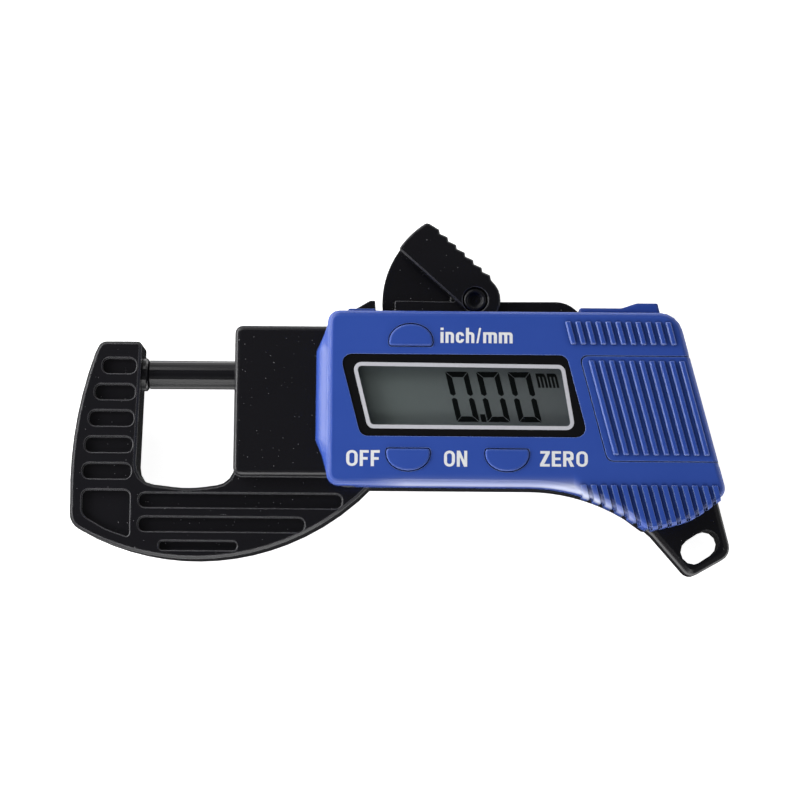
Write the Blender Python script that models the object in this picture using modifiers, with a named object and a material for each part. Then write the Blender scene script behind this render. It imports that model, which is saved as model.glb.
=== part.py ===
"""A digital thickness gauge: a C-frame with an anvil, a spindle that a thumb lever draws back, and a display pod.

Lengths are in metres. Every outline is drawn from the datum, where X = 0 is the anvil's face, Y = 0 the spindle's
axis and Z = 0 the back. The gauge lies on its back with its display upwards, and the datum empty stands so that
the origin lies under the middle of the whole gauge.
"""

import math

import bmesh
import bpy
from mathutils import Matrix, Vector

# Fits and walls
FIT = 0.0003
GLUE_GAP = 0.0002
FACE_GAP = 0.00015
STEP = 0.0001
TRAY_WALL = 0.0016
TRAY_FLOOR = 0.0012
BASE_WALL = 0.0012
SHELL_WALL = 0.0016
FACE_THICKNESS = 0.0018

# Measuring line
TRAVEL = 0.0127
THROAT_WIDTH = 0.0154
SPINDLE_DIAMETER = 0.0050
TAIL_DIAMETER = 0.0030
TAIL_LENGTH = 0.0032
ANVIL_DIAMETER = 0.0058
ANVIL_DEPTH = 0.0034
ANVIL_STAND = 0.0009
CONTACT_GAP = 0.0001
BUSH_WALL = 0.0009
BUSH_LENGTH = 0.0078
CARRIAGE_GAP = 0.0058
CARRIAGE_LENGTH = 0.0185
CARRIAGE_TOP = 0.0026
CARRIAGE_BOTTOM = -0.0034
LUG_WIDTH = 0.0058
LUG_HEIGHT = 0.0030
SCALE_THICKNESS = 0.0004
DRIVE_PIN_DIAMETER = 0.0018
ROD_DIAMETER = 0.0024
REAR_WALL_X = 0.0840
REAR_WALL_THICKNESS = 0.0016
SPRING_WIRE = 0.0005
SPRING_TURNS = 10

# Thumb lever
PIVOT = (0.0569, 0.0130)
LEVER_SWING = math.radians(34)
PAD_AXIS = math.radians(138)
PAD_LENGTH = 0.01605
PAD_BELOW = 0.0023
PAD_ABOVE = 0.0045
PAD_CORNER = 0.0018
PAD_EDGE = 0.0002
TOOTH_HEIGHT = 0.00045
TOOTH_COUNT = 7
TOOTH_PITCH = 0.0020
TOOTH_FACE = 0.0006
FIRST_TOOTH = 0.0010
HUB_RADIUS = 0.0044
SECTOR_RADIUS = 0.0162
SECTOR_START = math.radians(9)
SECTOR_END = math.radians(48)
WEB_THICKNESS = 0.0025
FORK_PLATE = 0.0010
FORK_WIDTH = 0.0046
FORK_GAP = 0.0025
LEVER_PIN_DIAMETER = 0.0026
PIN_HEAD_DIAMETER = 0.0039
PIN_HEAD_HEIGHT = 0.0013

# Heights above the back
ARM_BACK = 0.0010
ARM_FRONT = 0.0096
BLOCK_FRONT = 0.0120
RIM_FRONT = 0.0099
SEAM = 0.0136
FACE = 0.0165
HUMP_FRONT = 0.0076
LOOP_FRONT = 0.0060
LOOP_BACK = 0.0008

# C-frame
ARM_TOP = 0.0053
ARM_LEFT = -0.0128
ARM_BULGE_Y = -0.0195
ARM_BULGE_RADIUS = 0.0700
ARM_CORNER_RADIUS = 0.0038
ARM_TIP_RADIUS = 0.0007
BOW_X = 0.0087
BOW_BOTTOM = -0.0324
BOW_RADIUS = 0.0422
BOW_END_X = 0.0399
THROAT_BOTTOM = -0.0192
THROAT_SAG = 0.0011
THROAT_RADIUS = 0.0035
THROAT_TAPER = 0.0007
BLOCK_TOP = 0.0079
BLOCK_BOTTOM = -0.0181
BLOCK_RIGHT = 0.0345
BLOCK_EDGE = 0.0008
TRAY_EDGE = 0.0006
ARM_EDGE = 0.00045
POCKET_LEFT = 0.0366
RECESS_DEPTH = 0.0010
RECESS_HEIGHT = 0.0028
RECESS_PITCH = 0.00458
RECESS_FIRST_Y = 0.0010
RECESS_COUNT = 5
RECESS_RADIUS = 0.0012
RECESS_LAND = 0.0007
RECESS_OUTER_LAND = 0.0020
GROOVE_PITCH = 0.00413
GROOVE_HEIGHT = 0.00262
GROOVE_FIRST_Y = -0.0223
GROOVE_LEFT = -0.0010
GROOVE_ENDS = (0.0342, 0.0278)
SHORT_GROOVE = (0.0026, 0.0162)
SHORT_GROOVE_HEIGHT = 0.0017

# Hump over the lever's slot, and the lanyard loop
HUMP_TOP = 0.0131
HUMP_LEFT = 0.0429
HUMP_RIGHT = 0.0730
EAR_LEFT = 0.0350
EAR_RIGHT = 0.0395
SLOT_RIGHT = 0.0624
LOOP_CORNER = (0.0943, -0.0349)
LOOP_RIGHT_CORNER = (0.1017, -0.0307)
LOOP_LEAN = 0.25
LOOP_CURVE_RADIUS = 0.0292
LOOP_SLOT_CENTRE = (0.0961, -0.0295)
LOOP_SLOT_LENGTH = 0.0072
LOOP_SLOT_WIDTH = 0.0044
LOOP_SLOT_ANGLE = math.radians(33)
LOOP_EDGE = 0.0011

# Pod outline
SLANT = 0.262
POD_LEFT = 0.0315
POD_TOP = 0.0100
POD_BOTTOM = -0.0200
POD_RIGHT = 0.0914
POD_RADIUS = 0.0020
POD_TOP_RADIUS = 0.0040
CURVE_START = 0.0660
CURVE_RADIUS = 0.0321
CURVE_ANGLE = math.radians(31)
GRIP_TIP_REACH = 0.0046
GRIP_TIP_RADIUS = 0.0014
GRIP_KNEE_OFFSET = (0.0069, 0.0016)
GRIP_CORNER_Y = -0.0209
TRAY_INSET = 0.0003
TRAY_CURVE_SHIFT = 0.0007
BASE_INSET = 0.0001
BASE_LEFT = 0.0348
FACE_EDGE = 0.0010
FAIRING_LEFT = 0.0295
FAIRING_TOP = 0.0077
FAIRING_SHOULDER = 0.0032
FAIRING_HEEL = -0.0122
FAIRING_BOTTOM = -0.0177
TAB_TOP = 0.0107
TAB_LEFT = 0.0350
TAB_RIGHT = 0.0396
BUMP_LEFT = 0.0748
BUMP_LOW_TOP = 0.0111
BUMP_STEP = 0.0833
BUMP_TOP = 0.0120
BUMP_RIGHT = 0.0882

# Pod face
WINDOW_TOP = 0.0024
WINDOW_BOTTOM = -0.0117
WINDOW_LEFT = 0.0336
WINDOW_RIGHT = 0.0723
GLASS_LEFT = 0.0360
GLASS_RIGHT = 0.0714
GLASS_TOP = 0.0006
GLASS_BOTTOM = -0.0101
LENS_THICKNESS = 0.0008
LENS_SINK = 0.0002
LCD_THICKNESS = 0.0017
BUTTON_WIDTH = 0.0075
BUTTON_HEIGHT = 0.0038
BUTTON_PROUD = 0.0003
BUTTON_TRAVEL = 0.0005
FLANGE_THICKNESS = 0.0008
UNIT_BUTTON = (0.04575, 0.0038)
POWER_BUTTON = (0.0454, -0.0138)
ZERO_BUTTON = (0.0622, -0.0138)
DOOR_TOP = 0.0024
DOOR_BOTTOM = -0.0158
DOOR_LEFT = 0.0744
DOOR_THICKNESS = 0.0015
TONGUE = 0.0006
RIB_WIDTH = 0.0009
RIB_PITCH = 0.00171
RIB_PROUD = 0.00045
RIB_EDGE = 0.00014
GRIP_RIB_COUNT = 14
GRIP_RIB_LEFT = 0.0751
GRIP_RIB_TOP = -0.0198
TOP_RIB_COUNT = 11
TOP_RIB_LEFT = 0.0725
TOP_RIB_SPAN = (0.0043, 0.0082)
DOOR_RIB_COUNT = 10
DOOR_RIB_MARGIN = 0.0021
DOOR_RIB_SPAN = (-0.0146, 0.0015)

# Electronics
BATTERY_DIAMETER = 0.0116
BATTERY_HEIGHT = 0.0054
BATTERY_CENTRE = (0.0846, -0.0067)
WELL_WALL = 0.0009
BOARD_THICKNESS = 0.0010
BOARD_LEFT = 0.0376
BOARD_RIGHT = 0.0768
BOARD_TOP = 0.0068
BOARD_BOTTOM = -0.0177
LCD_RIGHT = 0.0742
LCD_MARGIN = 0.0011
CHIP_CENTRE = (0.0655, -0.0045)
CHIP_SIZE = 0.0070
CHIP_HEIGHT = 0.0010
ZEBRA_WIDTH = 0.0008
ZEBRA_SPAN = (0.0385, 0.0725)
CONTACT_THICKNESS = 0.0002
SCREW_INSET = 0.0038
SCREW_LEFT = 0.0383
SCREW_RIGHT = 0.0866
GRIP_SCREW_RISE = 0.0044
GRIP_SCREW_INSET = 0.0066
BOARD_SCREWS = ((0.0400, -0.0072), (0.0742, -0.0158))
POST_RADIUS = 0.0021
SCREW_DIAMETER = 0.0016
SCREW_HEAD_DIAMETER = 0.0034
SCREW_HEAD_HEIGHT = 0.0010

# Sizes that follow from those above
SPINDLE_Z = TRAY_FLOOR + FORK_PLATE + 2 * FIT + SPINDLE_DIAMETER / 2
CARRIAGE_LOW = SPINDLE_Z - SPINDLE_DIAMETER / 2
CARRIAGE_HIGH = SPINDLE_Z + SPINDLE_DIAMETER / 2
FORK_LOW = TRAY_FLOOR + FIT
CHEEK_LOW = HUMP_FRONT + FIT
SHELL_CEILING = FACE - FACE_THICKNESS
BASE_LOW = RIM_FRONT + FIT
BASE_HIGH = SEAM - FIT
BOARD_LOW = CARRIAGE_HIGH + GLUE_GAP + SCALE_THICKNESS + FIT
BOARD_HIGH = BOARD_LOW + BOARD_THICKNESS
PARTS_ON_BOARD = BOARD_HIGH + GLUE_GAP
TRAY_TOP = POD_TOP - TRAY_INSET
SLOT_LOW = CARRIAGE_LOW + FIT
SLOT_HIGH = SLOT_LOW + WEB_THICKNESS + 2 * FIT
WEB_LOW = SLOT_LOW + FIT
WEB_HIGH = WEB_LOW + WEB_THICKNESS
CARRIAGE_LEFT = POCKET_LEFT + CARRIAGE_GAP
CARRIAGE_RIGHT = CARRIAGE_LEFT + CARRIAGE_LENGTH
FORK_DROP = TRAVEL / (2 * math.tan(LEVER_SWING / 2))
PIN_X = PIVOT[0] - TRAVEL / 2
PIN_Y = PIVOT[1] - FORK_DROP
LUG_BOTTOM = PIN_Y - DRIVE_PIN_DIAMETER
ARM_FACE = -ANVIL_STAND
GRIP_TIP = (
    CURVE_START + CURVE_RADIUS * math.sin(CURVE_ANGLE) + GRIP_TIP_REACH * math.cos(CURVE_ANGLE),
    POD_BOTTOM - CURVE_RADIUS * (1 - math.cos(CURVE_ANGLE)) - GRIP_TIP_REACH * math.sin(CURVE_ANGLE),
)
GRIP_KNEE = (GRIP_TIP[0] + GRIP_KNEE_OFFSET[0], GRIP_TIP[1] + GRIP_KNEE_OFFSET[1])
GRIP_SCREW_Y = GRIP_KNEE[1] + GRIP_SCREW_RISE
HOUSING_SCREWS = (
    (SCREW_LEFT, POD_TOP - SCREW_INSET),
    (SCREW_LEFT, POD_BOTTOM + SCREW_INSET),
    (SCREW_RIGHT, POD_TOP - SCREW_INSET),
    (POD_RIGHT + (POD_TOP - GRIP_SCREW_Y) * SLANT - GRIP_SCREW_INSET, GRIP_SCREW_Y),
)

PLASTIC = "black_plastic"
COLOURS = {
    PLASTIC: ((0.012, 0.012, 0.015), 0.35, 0.0),
    "blue_plastic": ((0.040, 0.090, 0.420), 0.35, 0.0),
    "rod_black": ((0.010, 0.010, 0.012), 0.22, 0.0),
    "steel": ((0.55, 0.56, 0.58), 0.30, 1.0),
    "brass": ((0.72, 0.50, 0.22), 0.30, 1.0),
    "circuit_board": ((0.02, 0.16, 0.07), 0.50, 0.0),
    "copper_scale": ((0.70, 0.38, 0.20), 0.35, 1.0),
    "smoked_window": ((0.02, 0.02, 0.02), 0.10, 0.0),
    "display_glass": ((0.10, 0.13, 0.12), 0.20, 0.0),
    "rubber": ((0.05, 0.05, 0.05), 0.80, 0.0),
}


def clear_scene():
    for thing in list(bpy.data.objects):
        bpy.data.objects.remove(thing)


def new_collection(name):
    made = bpy.data.collections.new(name)
    bpy.context.scene.collection.children.link(made)
    return made


def empty(name, spot, parent=None):
    made = bpy.data.objects.new(name, None)
    made.empty_display_size = 0.005
    made.location = spot
    made.parent = parent
    PARTS.objects.link(made)
    return made


def material(name):
    found = bpy.data.materials.get(name)
    if found:
        return found
    colour, roughness, metallic = COLOURS[name]
    made = bpy.data.materials.new(name)
    made.use_nodes = True
    shader = made.node_tree.nodes["Principled BSDF"]
    shader.inputs["Base Color"].default_value = (*colour, 1)
    shader.inputs["Roughness"].default_value = roughness
    shader.inputs["Metallic"].default_value = metallic
    return made


# Outlines: lists of (x, y) that run anticlockwise


def arc(centre, radius, start, end, steps):
    """Points along a round stretch between two angles."""
    angles = [start + (end - start) * step / steps for step in range(steps + 1)]
    return [(centre[0] + radius * math.cos(a), centre[1] + radius * math.sin(a)) for a in angles]


def rounded(corners, steps=4):
    """The outline of (x, y, radius) corners, each with a radius turned into an arc that its edges leave room for."""
    outline = []
    for place, (x, y, radius) in enumerate(corners):
        if radius <= 0:
            outline.append((x, y))
            continue
        here = Vector((x, y))
        back = Vector(corners[place - 1][:2]) - here
        ahead = Vector(corners[(place + 1) % len(corners)][:2]) - here
        half = back.angle(ahead) / 2
        reach = min(radius / math.tan(half), 0.49 * back.length, 0.49 * ahead.length)
        radius = reach * math.tan(half)
        back.normalize()
        ahead.normalize()
        centre = here + (back + ahead).normalized() * (radius / math.sin(half))
        first = here + back * reach - centre
        last = here + ahead * reach - centre
        start = math.atan2(first.y, first.x)
        sweep = (math.atan2(last.y, last.x) - start + math.pi) % (2 * math.pi) - math.pi
        outline += arc(centre, radius, start, start + sweep, steps)
    return outline


def inset(corners, distance):
    """The corners moved inwards by a distance, or outwards where it is negative, with their radii to suit."""
    moved = []
    for place, (x, y, radius) in enumerate(corners):
        here = Vector((x, y))
        back = (here - Vector(corners[place - 1][:2])).normalized()
        ahead = (Vector(corners[(place + 1) % len(corners)][:2]) - here).normalized()
        inward = Vector((-ahead.y, ahead.x))
        middle = (Vector((-back.y, back.x)) + inward).normalized()
        here += middle * (distance / middle.dot(inward))
        moved.append((here.x, here.y, max(radius - distance, FIT) if radius else 0))
    return moved


def turned_outline(outline, angle, centre=(0, 0)):
    """The outline turned by an angle about the origin, then moved to a centre."""
    turn = Matrix.Rotation(angle, 2)
    return [tuple(turn @ Vector(point) + Vector(centre)) for point in outline]


def stadium(length, width, angle, centre, steps=6):
    """A slot's outline with round ends."""
    flat = (length - width) / 2
    ends = arc((flat, 0), width / 2, -math.pi / 2, math.pi / 2, steps)
    ends += arc((-flat, 0), width / 2, math.pi / 2, 3 * math.pi / 2, steps)
    return turned_outline(ends, angle, centre)


def slanted(x, y, from_y=POD_TOP):
    """The X of a slanted edge at height y, for an edge that passes x at from_y."""
    return x + (from_y - y) * SLANT


def slanted_corners(left, right, bottom, top, radius, from_y=None):
    """A parallelogram whose sides lean as the pod's right edge does, with its X values given at from_y."""
    start = top if from_y is None else from_y
    return [
        (slanted(left, top, start), top, radius),
        (slanted(left, bottom, start), bottom, radius),
        (slanted(right, bottom, start), bottom, radius),
        (slanted(right, top, start), top, radius),
    ]


def rectangle(left, right, bottom, top, radius=0):
    return rounded([(left, top, radius), (left, bottom, radius), (right, bottom, radius), (right, top, radius)])


def pod_corners(left, curve_shift=0.0):
    """The pod's corners seen from the front. The grip's tip carries on the curve that runs up to it."""
    centre = (CURVE_START + curve_shift, POD_BOTTOM - CURVE_RADIUS)
    curve = arc(centre, CURVE_RADIUS, math.pi / 2, math.pi / 2 - CURVE_ANGLE, 9)
    return [
        (left, POD_TOP, POD_RADIUS),
        (left, POD_BOTTOM, POD_RADIUS),
        *[(x, y, 0) for x, y in curve],
        (*GRIP_TIP, GRIP_TIP_RADIUS),
        (*GRIP_KNEE, 0.012),
        (slanted(POD_RIGHT, GRIP_CORNER_Y), GRIP_CORNER_Y, POD_RADIUS),
        (POD_RIGHT, POD_TOP, POD_TOP_RADIUS),
    ]


def pod_outline(inward=0.0, left=POD_LEFT, curve_shift=0.0):
    """The pod's outline moved inwards, with its left side at a given X."""
    return rounded(inset(pod_corners(left - inward, curve_shift), inward))


# Solids


def solid(name, shape, place, parent=None, spot=(0, 0, 0)):
    """An object made from a bmesh that is drawn from the datum, with its own origin at a spot."""
    bmesh.ops.translate(shape, verts=shape.verts, vec=-Vector(spot))
    mesh = bpy.data.meshes.new(name)
    shape.to_mesh(mesh)
    shape.free()
    made = bpy.data.objects.new(name, mesh)
    place.objects.link(made)
    made.parent = parent or DATUM
    if made.parent == DATUM:
        made.location = spot
    if place == CUTTERS:
        made.hide_render = True
        made.display_type = "WIRE"
    return made


def set_heights(shape, low, high):
    """Puts the two ends of an upright piece at exact heights, so that pieces of one height lie in one plane."""
    for vertex in shape.verts:
        vertex.co.z = high if vertex.co.z > 0 else low


def plate_shape(outline, low, high):
    """A flat piece between two heights: a filled and extruded 2D curve, drawn in millimetres and made a mesh."""
    per_metre = 1000
    curve = bpy.data.curves.new("outline", "CURVE")
    curve.dimensions = "2D"
    curve.fill_mode = "BOTH"
    curve.extrude = per_metre * (high - low) / 2
    spline = curve.splines.new("POLY")
    spline.points.add(len(outline) - 1)
    for point, (x, y) in zip(spline.points, outline):
        point.co = (per_metre * x, per_metre * y, 0, 1)
    spline.use_cyclic_u = True
    drawn = bpy.data.objects.new("outline", curve)
    mesh = bpy.data.meshes.new_from_object(drawn)
    shape = bmesh.new()
    shape.from_mesh(mesh)
    bpy.data.objects.remove(drawn)
    bpy.data.curves.remove(curve)
    bpy.data.meshes.remove(mesh)
    bmesh.ops.remove_doubles(shape, verts=shape.verts, dist=0.0005)
    bmesh.ops.scale(shape, verts=shape.verts, vec=[1 / per_metre] * 3)
    set_heights(shape, low, high)
    bmesh.ops.dissolve_limit(shape, angle_limit=0.002, verts=shape.verts, edges=shape.edges)
    bmesh.ops.recalc_face_normals(shape, faces=shape.faces)
    return shape


def bevel_rim(shape, height, width, segments=2):
    """Rounds the edges that lie at one height."""
    rim = [e for e in shape.edges if all(abs(v.co.z - height) < 1e-6 for v in e.verts)]
    bmesh.ops.bevel(shape, geom=rim, offset=width, segments=segments, profile=0.5, affect="EDGES")


def plate(name, outline, low, high, place, top_edge=0.0, bottom_edge=0.0, segments=2, parent=None, spot=(0, 0, 0)):
    shape = plate_shape(outline, low, high)
    if top_edge:
        bevel_rim(shape, high, top_edge, segments)
    if bottom_edge:
        bevel_rim(shape, low, bottom_edge, segments)
    return solid(name, shape, place, parent, spot)


def upright_plate(name, outline, front, back, place, parent=None, spot=(0, 0, 0)):
    """A flat piece whose outline is drawn in X and Z, between two Y values."""
    shape = plate_shape(outline, front, back)
    bmesh.ops.rotate(shape, verts=shape.verts, matrix=Matrix(((1, 0, 0), (0, 0, 1), (0, 1, 0))))
    bmesh.ops.recalc_face_normals(shape, faces=shape.faces)
    return solid(name, shape, place, parent, spot)


def box(name, low, high, place, edge=0.0, parent=None, spot=(0, 0, 0)):
    shape = bmesh.new()
    bmesh.ops.create_cube(shape, size=1)
    low, high = Vector(low), Vector(high)
    bmesh.ops.scale(shape, verts=shape.verts, vec=high - low)
    bmesh.ops.translate(shape, verts=shape.verts, vec=(low + high) / 2)
    if edge:
        bmesh.ops.bevel(shape, geom=shape.edges, offset=edge, segments=2, profile=0.5, affect="EDGES")
    return solid(name, shape, place, parent, spot)


def cylinder(name, radius, low, high, centre, place, axis="Z", sides=24):
    """A round bar between two values along Z or X, with its centre in the other two."""
    shape = bmesh.new()
    bmesh.ops.create_cone(
        shape, cap_ends=True, segments=sides, radius1=radius, radius2=radius, depth=high - low
    )
    set_heights(shape, low, high)
    if axis == "X":
        bmesh.ops.rotate(shape, verts=shape.verts, matrix=Matrix.Rotation(math.pi / 2, 3, "Y"))
        bmesh.ops.translate(shape, verts=shape.verts, vec=(0, *centre))
    else:
        bmesh.ops.translate(shape, verts=shape.verts, vec=(*centre, 0))
    return solid(name, shape, place)


def turned(name, profile, spot, place, axis="Z", parent=None, offset=(0, 0, 0), sides=28):
    """A turned piece: (radius, distance along its axis) from its far end to its near end, on a Screw modifier."""
    mesh = bpy.data.meshes.new(name)
    points = [(radius, 0, along) for radius, along in profile]
    mesh.from_pydata(points, [(i, i + 1) for i in range(len(points) - 1)], [])
    made = bpy.data.objects.new(name, mesh)
    place.objects.link(made)
    screw = made.modifiers.new("turning", "SCREW")
    screw.axis = "Z"
    screw.steps = screw.render_steps = sides
    screw.use_merge_vertices = True
    screw.merge_threshold = 0.000001
    screw.use_smooth_shade = True
    made.parent = parent or DATUM
    made.location = Vector(spot) - Vector(offset)
    if axis == "X":
        made.rotation_euler.y = math.pi / 2
    if place == CUTTERS:
        made.hide_render = True
        made.display_type = "WIRE"
    return made


def gathered(name, things):
    """Cutters that stand apart, made one object so that one Boolean takes them all."""
    shape = bmesh.new()
    for thing in things:
        shape.from_mesh(thing.data)
        mesh = thing.data
        bpy.data.objects.remove(thing)
        bpy.data.meshes.remove(mesh)
    return solid(name, shape, CUTTERS)


def boolean(thing, other, operation):
    step = thing.modifiers.new(f"{operation.lower()} {other.name}", "BOOLEAN")
    step.operation = operation
    step.object = other
    step.solver = "EXACT"


def join(thing, *others):
    for other in others:
        boolean(thing, other, "UNION")


def cut(thing, *others):
    for other in others:
        boolean(thing, other, "DIFFERENCE")


def keep_inside(thing, other):
    boolean(thing, other, "INTERSECT")


def finish(thing, colour, angle=35):
    """Gives a piece its material and smooth shading with crisp edges."""
    thing.data.materials.append(material(colour))
    thing.data.shade_smooth()
    thing.data.set_sharp_from_angle(angle=math.radians(angle))
    return thing


# C-frame with its tray, hump and lanyard loop


def arm_x(y):
    """The X of the arm's bulging outer side."""
    return ARM_LEFT + ARM_BULGE_RADIUS - math.sqrt(ARM_BULGE_RADIUS**2 - (y - ARM_BULGE_Y) ** 2)


def bow_y(x, inward=0.0):
    """The Y of the bow under the throat."""
    radius = BOW_RADIUS - inward
    return BOW_BOTTOM + BOW_RADIUS - math.sqrt(radius**2 - (x - BOW_X) ** 2)


def throat_x(y):
    """The X of the arm's inner side, which draws back a little towards the bow."""
    return ARM_FACE - THROAT_TAPER * (ARM_TOP - y) / (ARM_TOP - THROAT_BOTTOM)


def c_outline():
    """The arm and the web under the throat, as far as the tray."""
    side_steps, bow_steps = 7, 16
    side_start, side_end = ARM_TOP - 0.0020, THROAT_BOTTOM - 0.0033
    bow_start = ARM_LEFT + ARM_CORNER_RADIUS
    side = [side_start + (side_end - side_start) * i / side_steps for i in range(side_steps + 1)]
    bow = [bow_start + (BOW_END_X - bow_start) * i / bow_steps for i in range(bow_steps + 1)]
    return rounded(
        [
            (ARM_FACE, ARM_TOP, ARM_TIP_RADIUS),
            (arm_x(ARM_TOP) + 0.0002, ARM_TOP, 0.0016),
            *[(arm_x(y), y, 0) for y in side],
            (ARM_LEFT, bow_y(ARM_LEFT), ARM_CORNER_RADIUS),
            *[(x, bow_y(x), 0) for x in bow],
            (BOW_END_X, BLOCK_BOTTOM + 0.0020, 0),
            (THROAT_WIDTH + STEP, BLOCK_BOTTOM + 2 * THROAT_RADIUS, 0),
            (THROAT_WIDTH + STEP, THROAT_BOTTOM, THROAT_RADIUS),
            (THROAT_WIDTH / 2, THROAT_BOTTOM - THROAT_SAG, 0.0200),
            (throat_x(THROAT_BOTTOM), THROAT_BOTTOM, THROAT_RADIUS),
        ]
    )


def recess_outlines():
    """The cored pockets in the arm, the corner pocket and the grooves along the web."""
    outlines = []
    for row in range(RECESS_COUNT):
        y = RECESS_FIRST_Y - row * RECESS_PITCH
        left, right = arm_x(y) + RECESS_OUTER_LAND, throat_x(y) - RECESS_LAND
        outlines.append(rectangle(left, right, y - RECESS_HEIGHT / 2, y + RECESS_HEIGHT / 2, RECESS_RADIUS))
    top = RECESS_FIRST_Y - RECESS_COUNT * RECESS_PITCH + RECESS_HEIGHT / 2
    left, right = arm_x(top) + RECESS_OUTER_LAND, throat_x(top) - RECESS_LAND
    wall = RECESS_OUTER_LAND
    outlines.append(
        rounded(
            [
                (left, top, RECESS_RADIUS),
                (left, bow_y(left, wall) + 0.0004, 0.0020),
                ((left + right) / 2, bow_y((left + right) / 2, wall), 0.0060),
                (right, bow_y(right, wall), 0.0006),
                (right, top, RECESS_RADIUS),
            ]
        )
    )
    for row, end in enumerate(GROOVE_ENDS):
        top = GROOVE_FIRST_Y + GROOVE_HEIGHT / 2 - row * GROOVE_PITCH
        outlines.append(rectangle(GROOVE_LEFT, end, top - GROOVE_HEIGHT, top, GROOVE_HEIGHT * 0.45))
    top = GROOVE_FIRST_Y + GROOVE_HEIGHT / 2 - len(GROOVE_ENDS) * GROOVE_PITCH
    outlines.append(rectangle(*SHORT_GROOVE, top - SHORT_GROOVE_HEIGHT, top, SHORT_GROOVE_HEIGHT * 0.45))
    return outlines


def recess_cutters():
    cutters = []
    for outline in recess_outlines():
        cutters.append(plate("front recess", outline, ARM_FRONT - RECESS_DEPTH, ARM_FRONT + FIT, CUTTERS))
        cutters.append(plate("back recess", outline, ARM_BACK - FIT, ARM_BACK + RECESS_DEPTH, CUTTERS))
    return gathered("recess cutters", cutters)


def loop_outline():
    """The lanyard loop, whose left side carries on the pod's curve."""
    centre = (CURVE_START + 0.0020, POD_BOTTOM + TRAY_INSET - LOOP_CURVE_RADIUS)
    curve = arc(centre, LOOP_CURVE_RADIUS, math.radians(60), math.radians(47), 4)
    lean = (GRIP_CORNER_Y - LOOP_RIGHT_CORNER[1]) * LOOP_LEAN
    return rounded(
        [
            *[(x, y, 0) for x, y in curve],
            (*LOOP_CORNER, 0.0018),
            (*LOOP_RIGHT_CORNER, 0.0025),
            (LOOP_RIGHT_CORNER[0] - lean, GRIP_CORNER_Y, 0),
            (LOOP_CORNER[0], GRIP_CORNER_Y, 0),
        ]
    )


def hump_outline():
    return rounded(
        [
            (HUMP_LEFT, HUMP_TOP, 0.0003),
            (HUMP_LEFT, TRAY_TOP - TRAY_WALL / 2, 0),
            (HUMP_RIGHT + 0.0046, TRAY_TOP - TRAY_WALL / 2, 0),
            (HUMP_RIGHT, HUMP_TOP, 0.0050),
            *[(x, y, 0) for x, y in arc(PIVOT, HUB_RADIUS - 0.0008, 0, math.pi, 12)],
        ]
    )


def ear_outline():
    return rounded(
        [
            (EAR_LEFT - 0.0008, TRAY_TOP - TRAY_WALL, 0),
            (EAR_RIGHT, TRAY_TOP - TRAY_WALL, 0),
            (EAR_RIGHT, HUMP_TOP, 0.0002),
            (EAR_RIGHT - 0.0009, HUMP_TOP, 0.0020),
            (EAR_LEFT, HUMP_TOP - 0.0022, 0.0010),
        ]
    )


def make_frame():
    """The black moulding that carries everything else."""
    frame = plate("frame", c_outline(), ARM_BACK, ARM_FRONT, PARTS, ARM_EDGE, ARM_EDGE, 1)
    block_outline = rounded(
        [
            (THROAT_WIDTH, BLOCK_TOP, 0.0013),
            (THROAT_WIDTH, BLOCK_BOTTOM, 0.0013),
            (BLOCK_RIGHT, BLOCK_BOTTOM, 0),
            (BLOCK_RIGHT, BLOCK_TOP, 0),
        ]
    )
    block = plate("block", block_outline, 0, BLOCK_FRONT, CUTTERS, BLOCK_EDGE, BLOCK_EDGE, 3)
    tray_outline = pod_outline(TRAY_INSET, BLOCK_RIGHT - 0.0015, TRAY_CURVE_SHIFT)
    tray = plate("tray", tray_outline, 0, RIM_FRONT, CUTTERS, 0, TRAY_EDGE)
    hump = plate("hump", hump_outline(), 0, HUMP_FRONT, CUTTERS)
    ear = plate("ear", ear_outline(), 0, HUMP_FRONT, CUTTERS)
    loop = plate("loop", loop_outline(), LOOP_BACK, LOOP_FRONT, CUTTERS, LOOP_EDGE, ARM_EDGE)
    join(frame, block, tray, hump, ear, loop)
    pocket_outline = pod_outline(TRAY_INSET + TRAY_WALL, POCKET_LEFT, TRAY_CURVE_SHIFT)
    pocket = plate("tray pocket", pocket_outline, TRAY_FLOOR, RIM_FRONT + 0.002, CUTTERS)
    cut(frame, pocket)
    posts = [
        cylinder(f"post {n}", POST_RADIUS, TRAY_FLOOR / 2, RIM_FRONT, spot, CUTTERS, sides=16)
        for n, spot in enumerate(HOUSING_SCREWS)
    ]
    board_posts = [
        cylinder(f"board post {n}", POST_RADIUS * 0.85, TRAY_FLOOR / 2, BOARD_LOW - FIT, spot, CUTTERS, sides=16)
        for n, spot in enumerate(BOARD_SCREWS)
    ]
    rod_wall = box(
        "rod wall",
        (REAR_WALL_X, -0.0030, TRAY_FLOOR / 2),
        (REAR_WALL_X + REAR_WALL_THICKNESS, 0.0030, CARRIAGE_HIGH + FIT),
        CUTTERS,
    )
    join(frame, gathered("tray posts", posts + board_posts), rod_wall)
    hub_room = cylinder("hub room", HUB_RADIUS + FACE_GAP, HUMP_FRONT + STEP, RIM_FRONT + 0.001, PIVOT, CUTTERS)
    cut(frame, recess_cutters(), frame_holes(), lever_slot(), hub_room, screw_holes())
    return finish(frame, PLASTIC)


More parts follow.
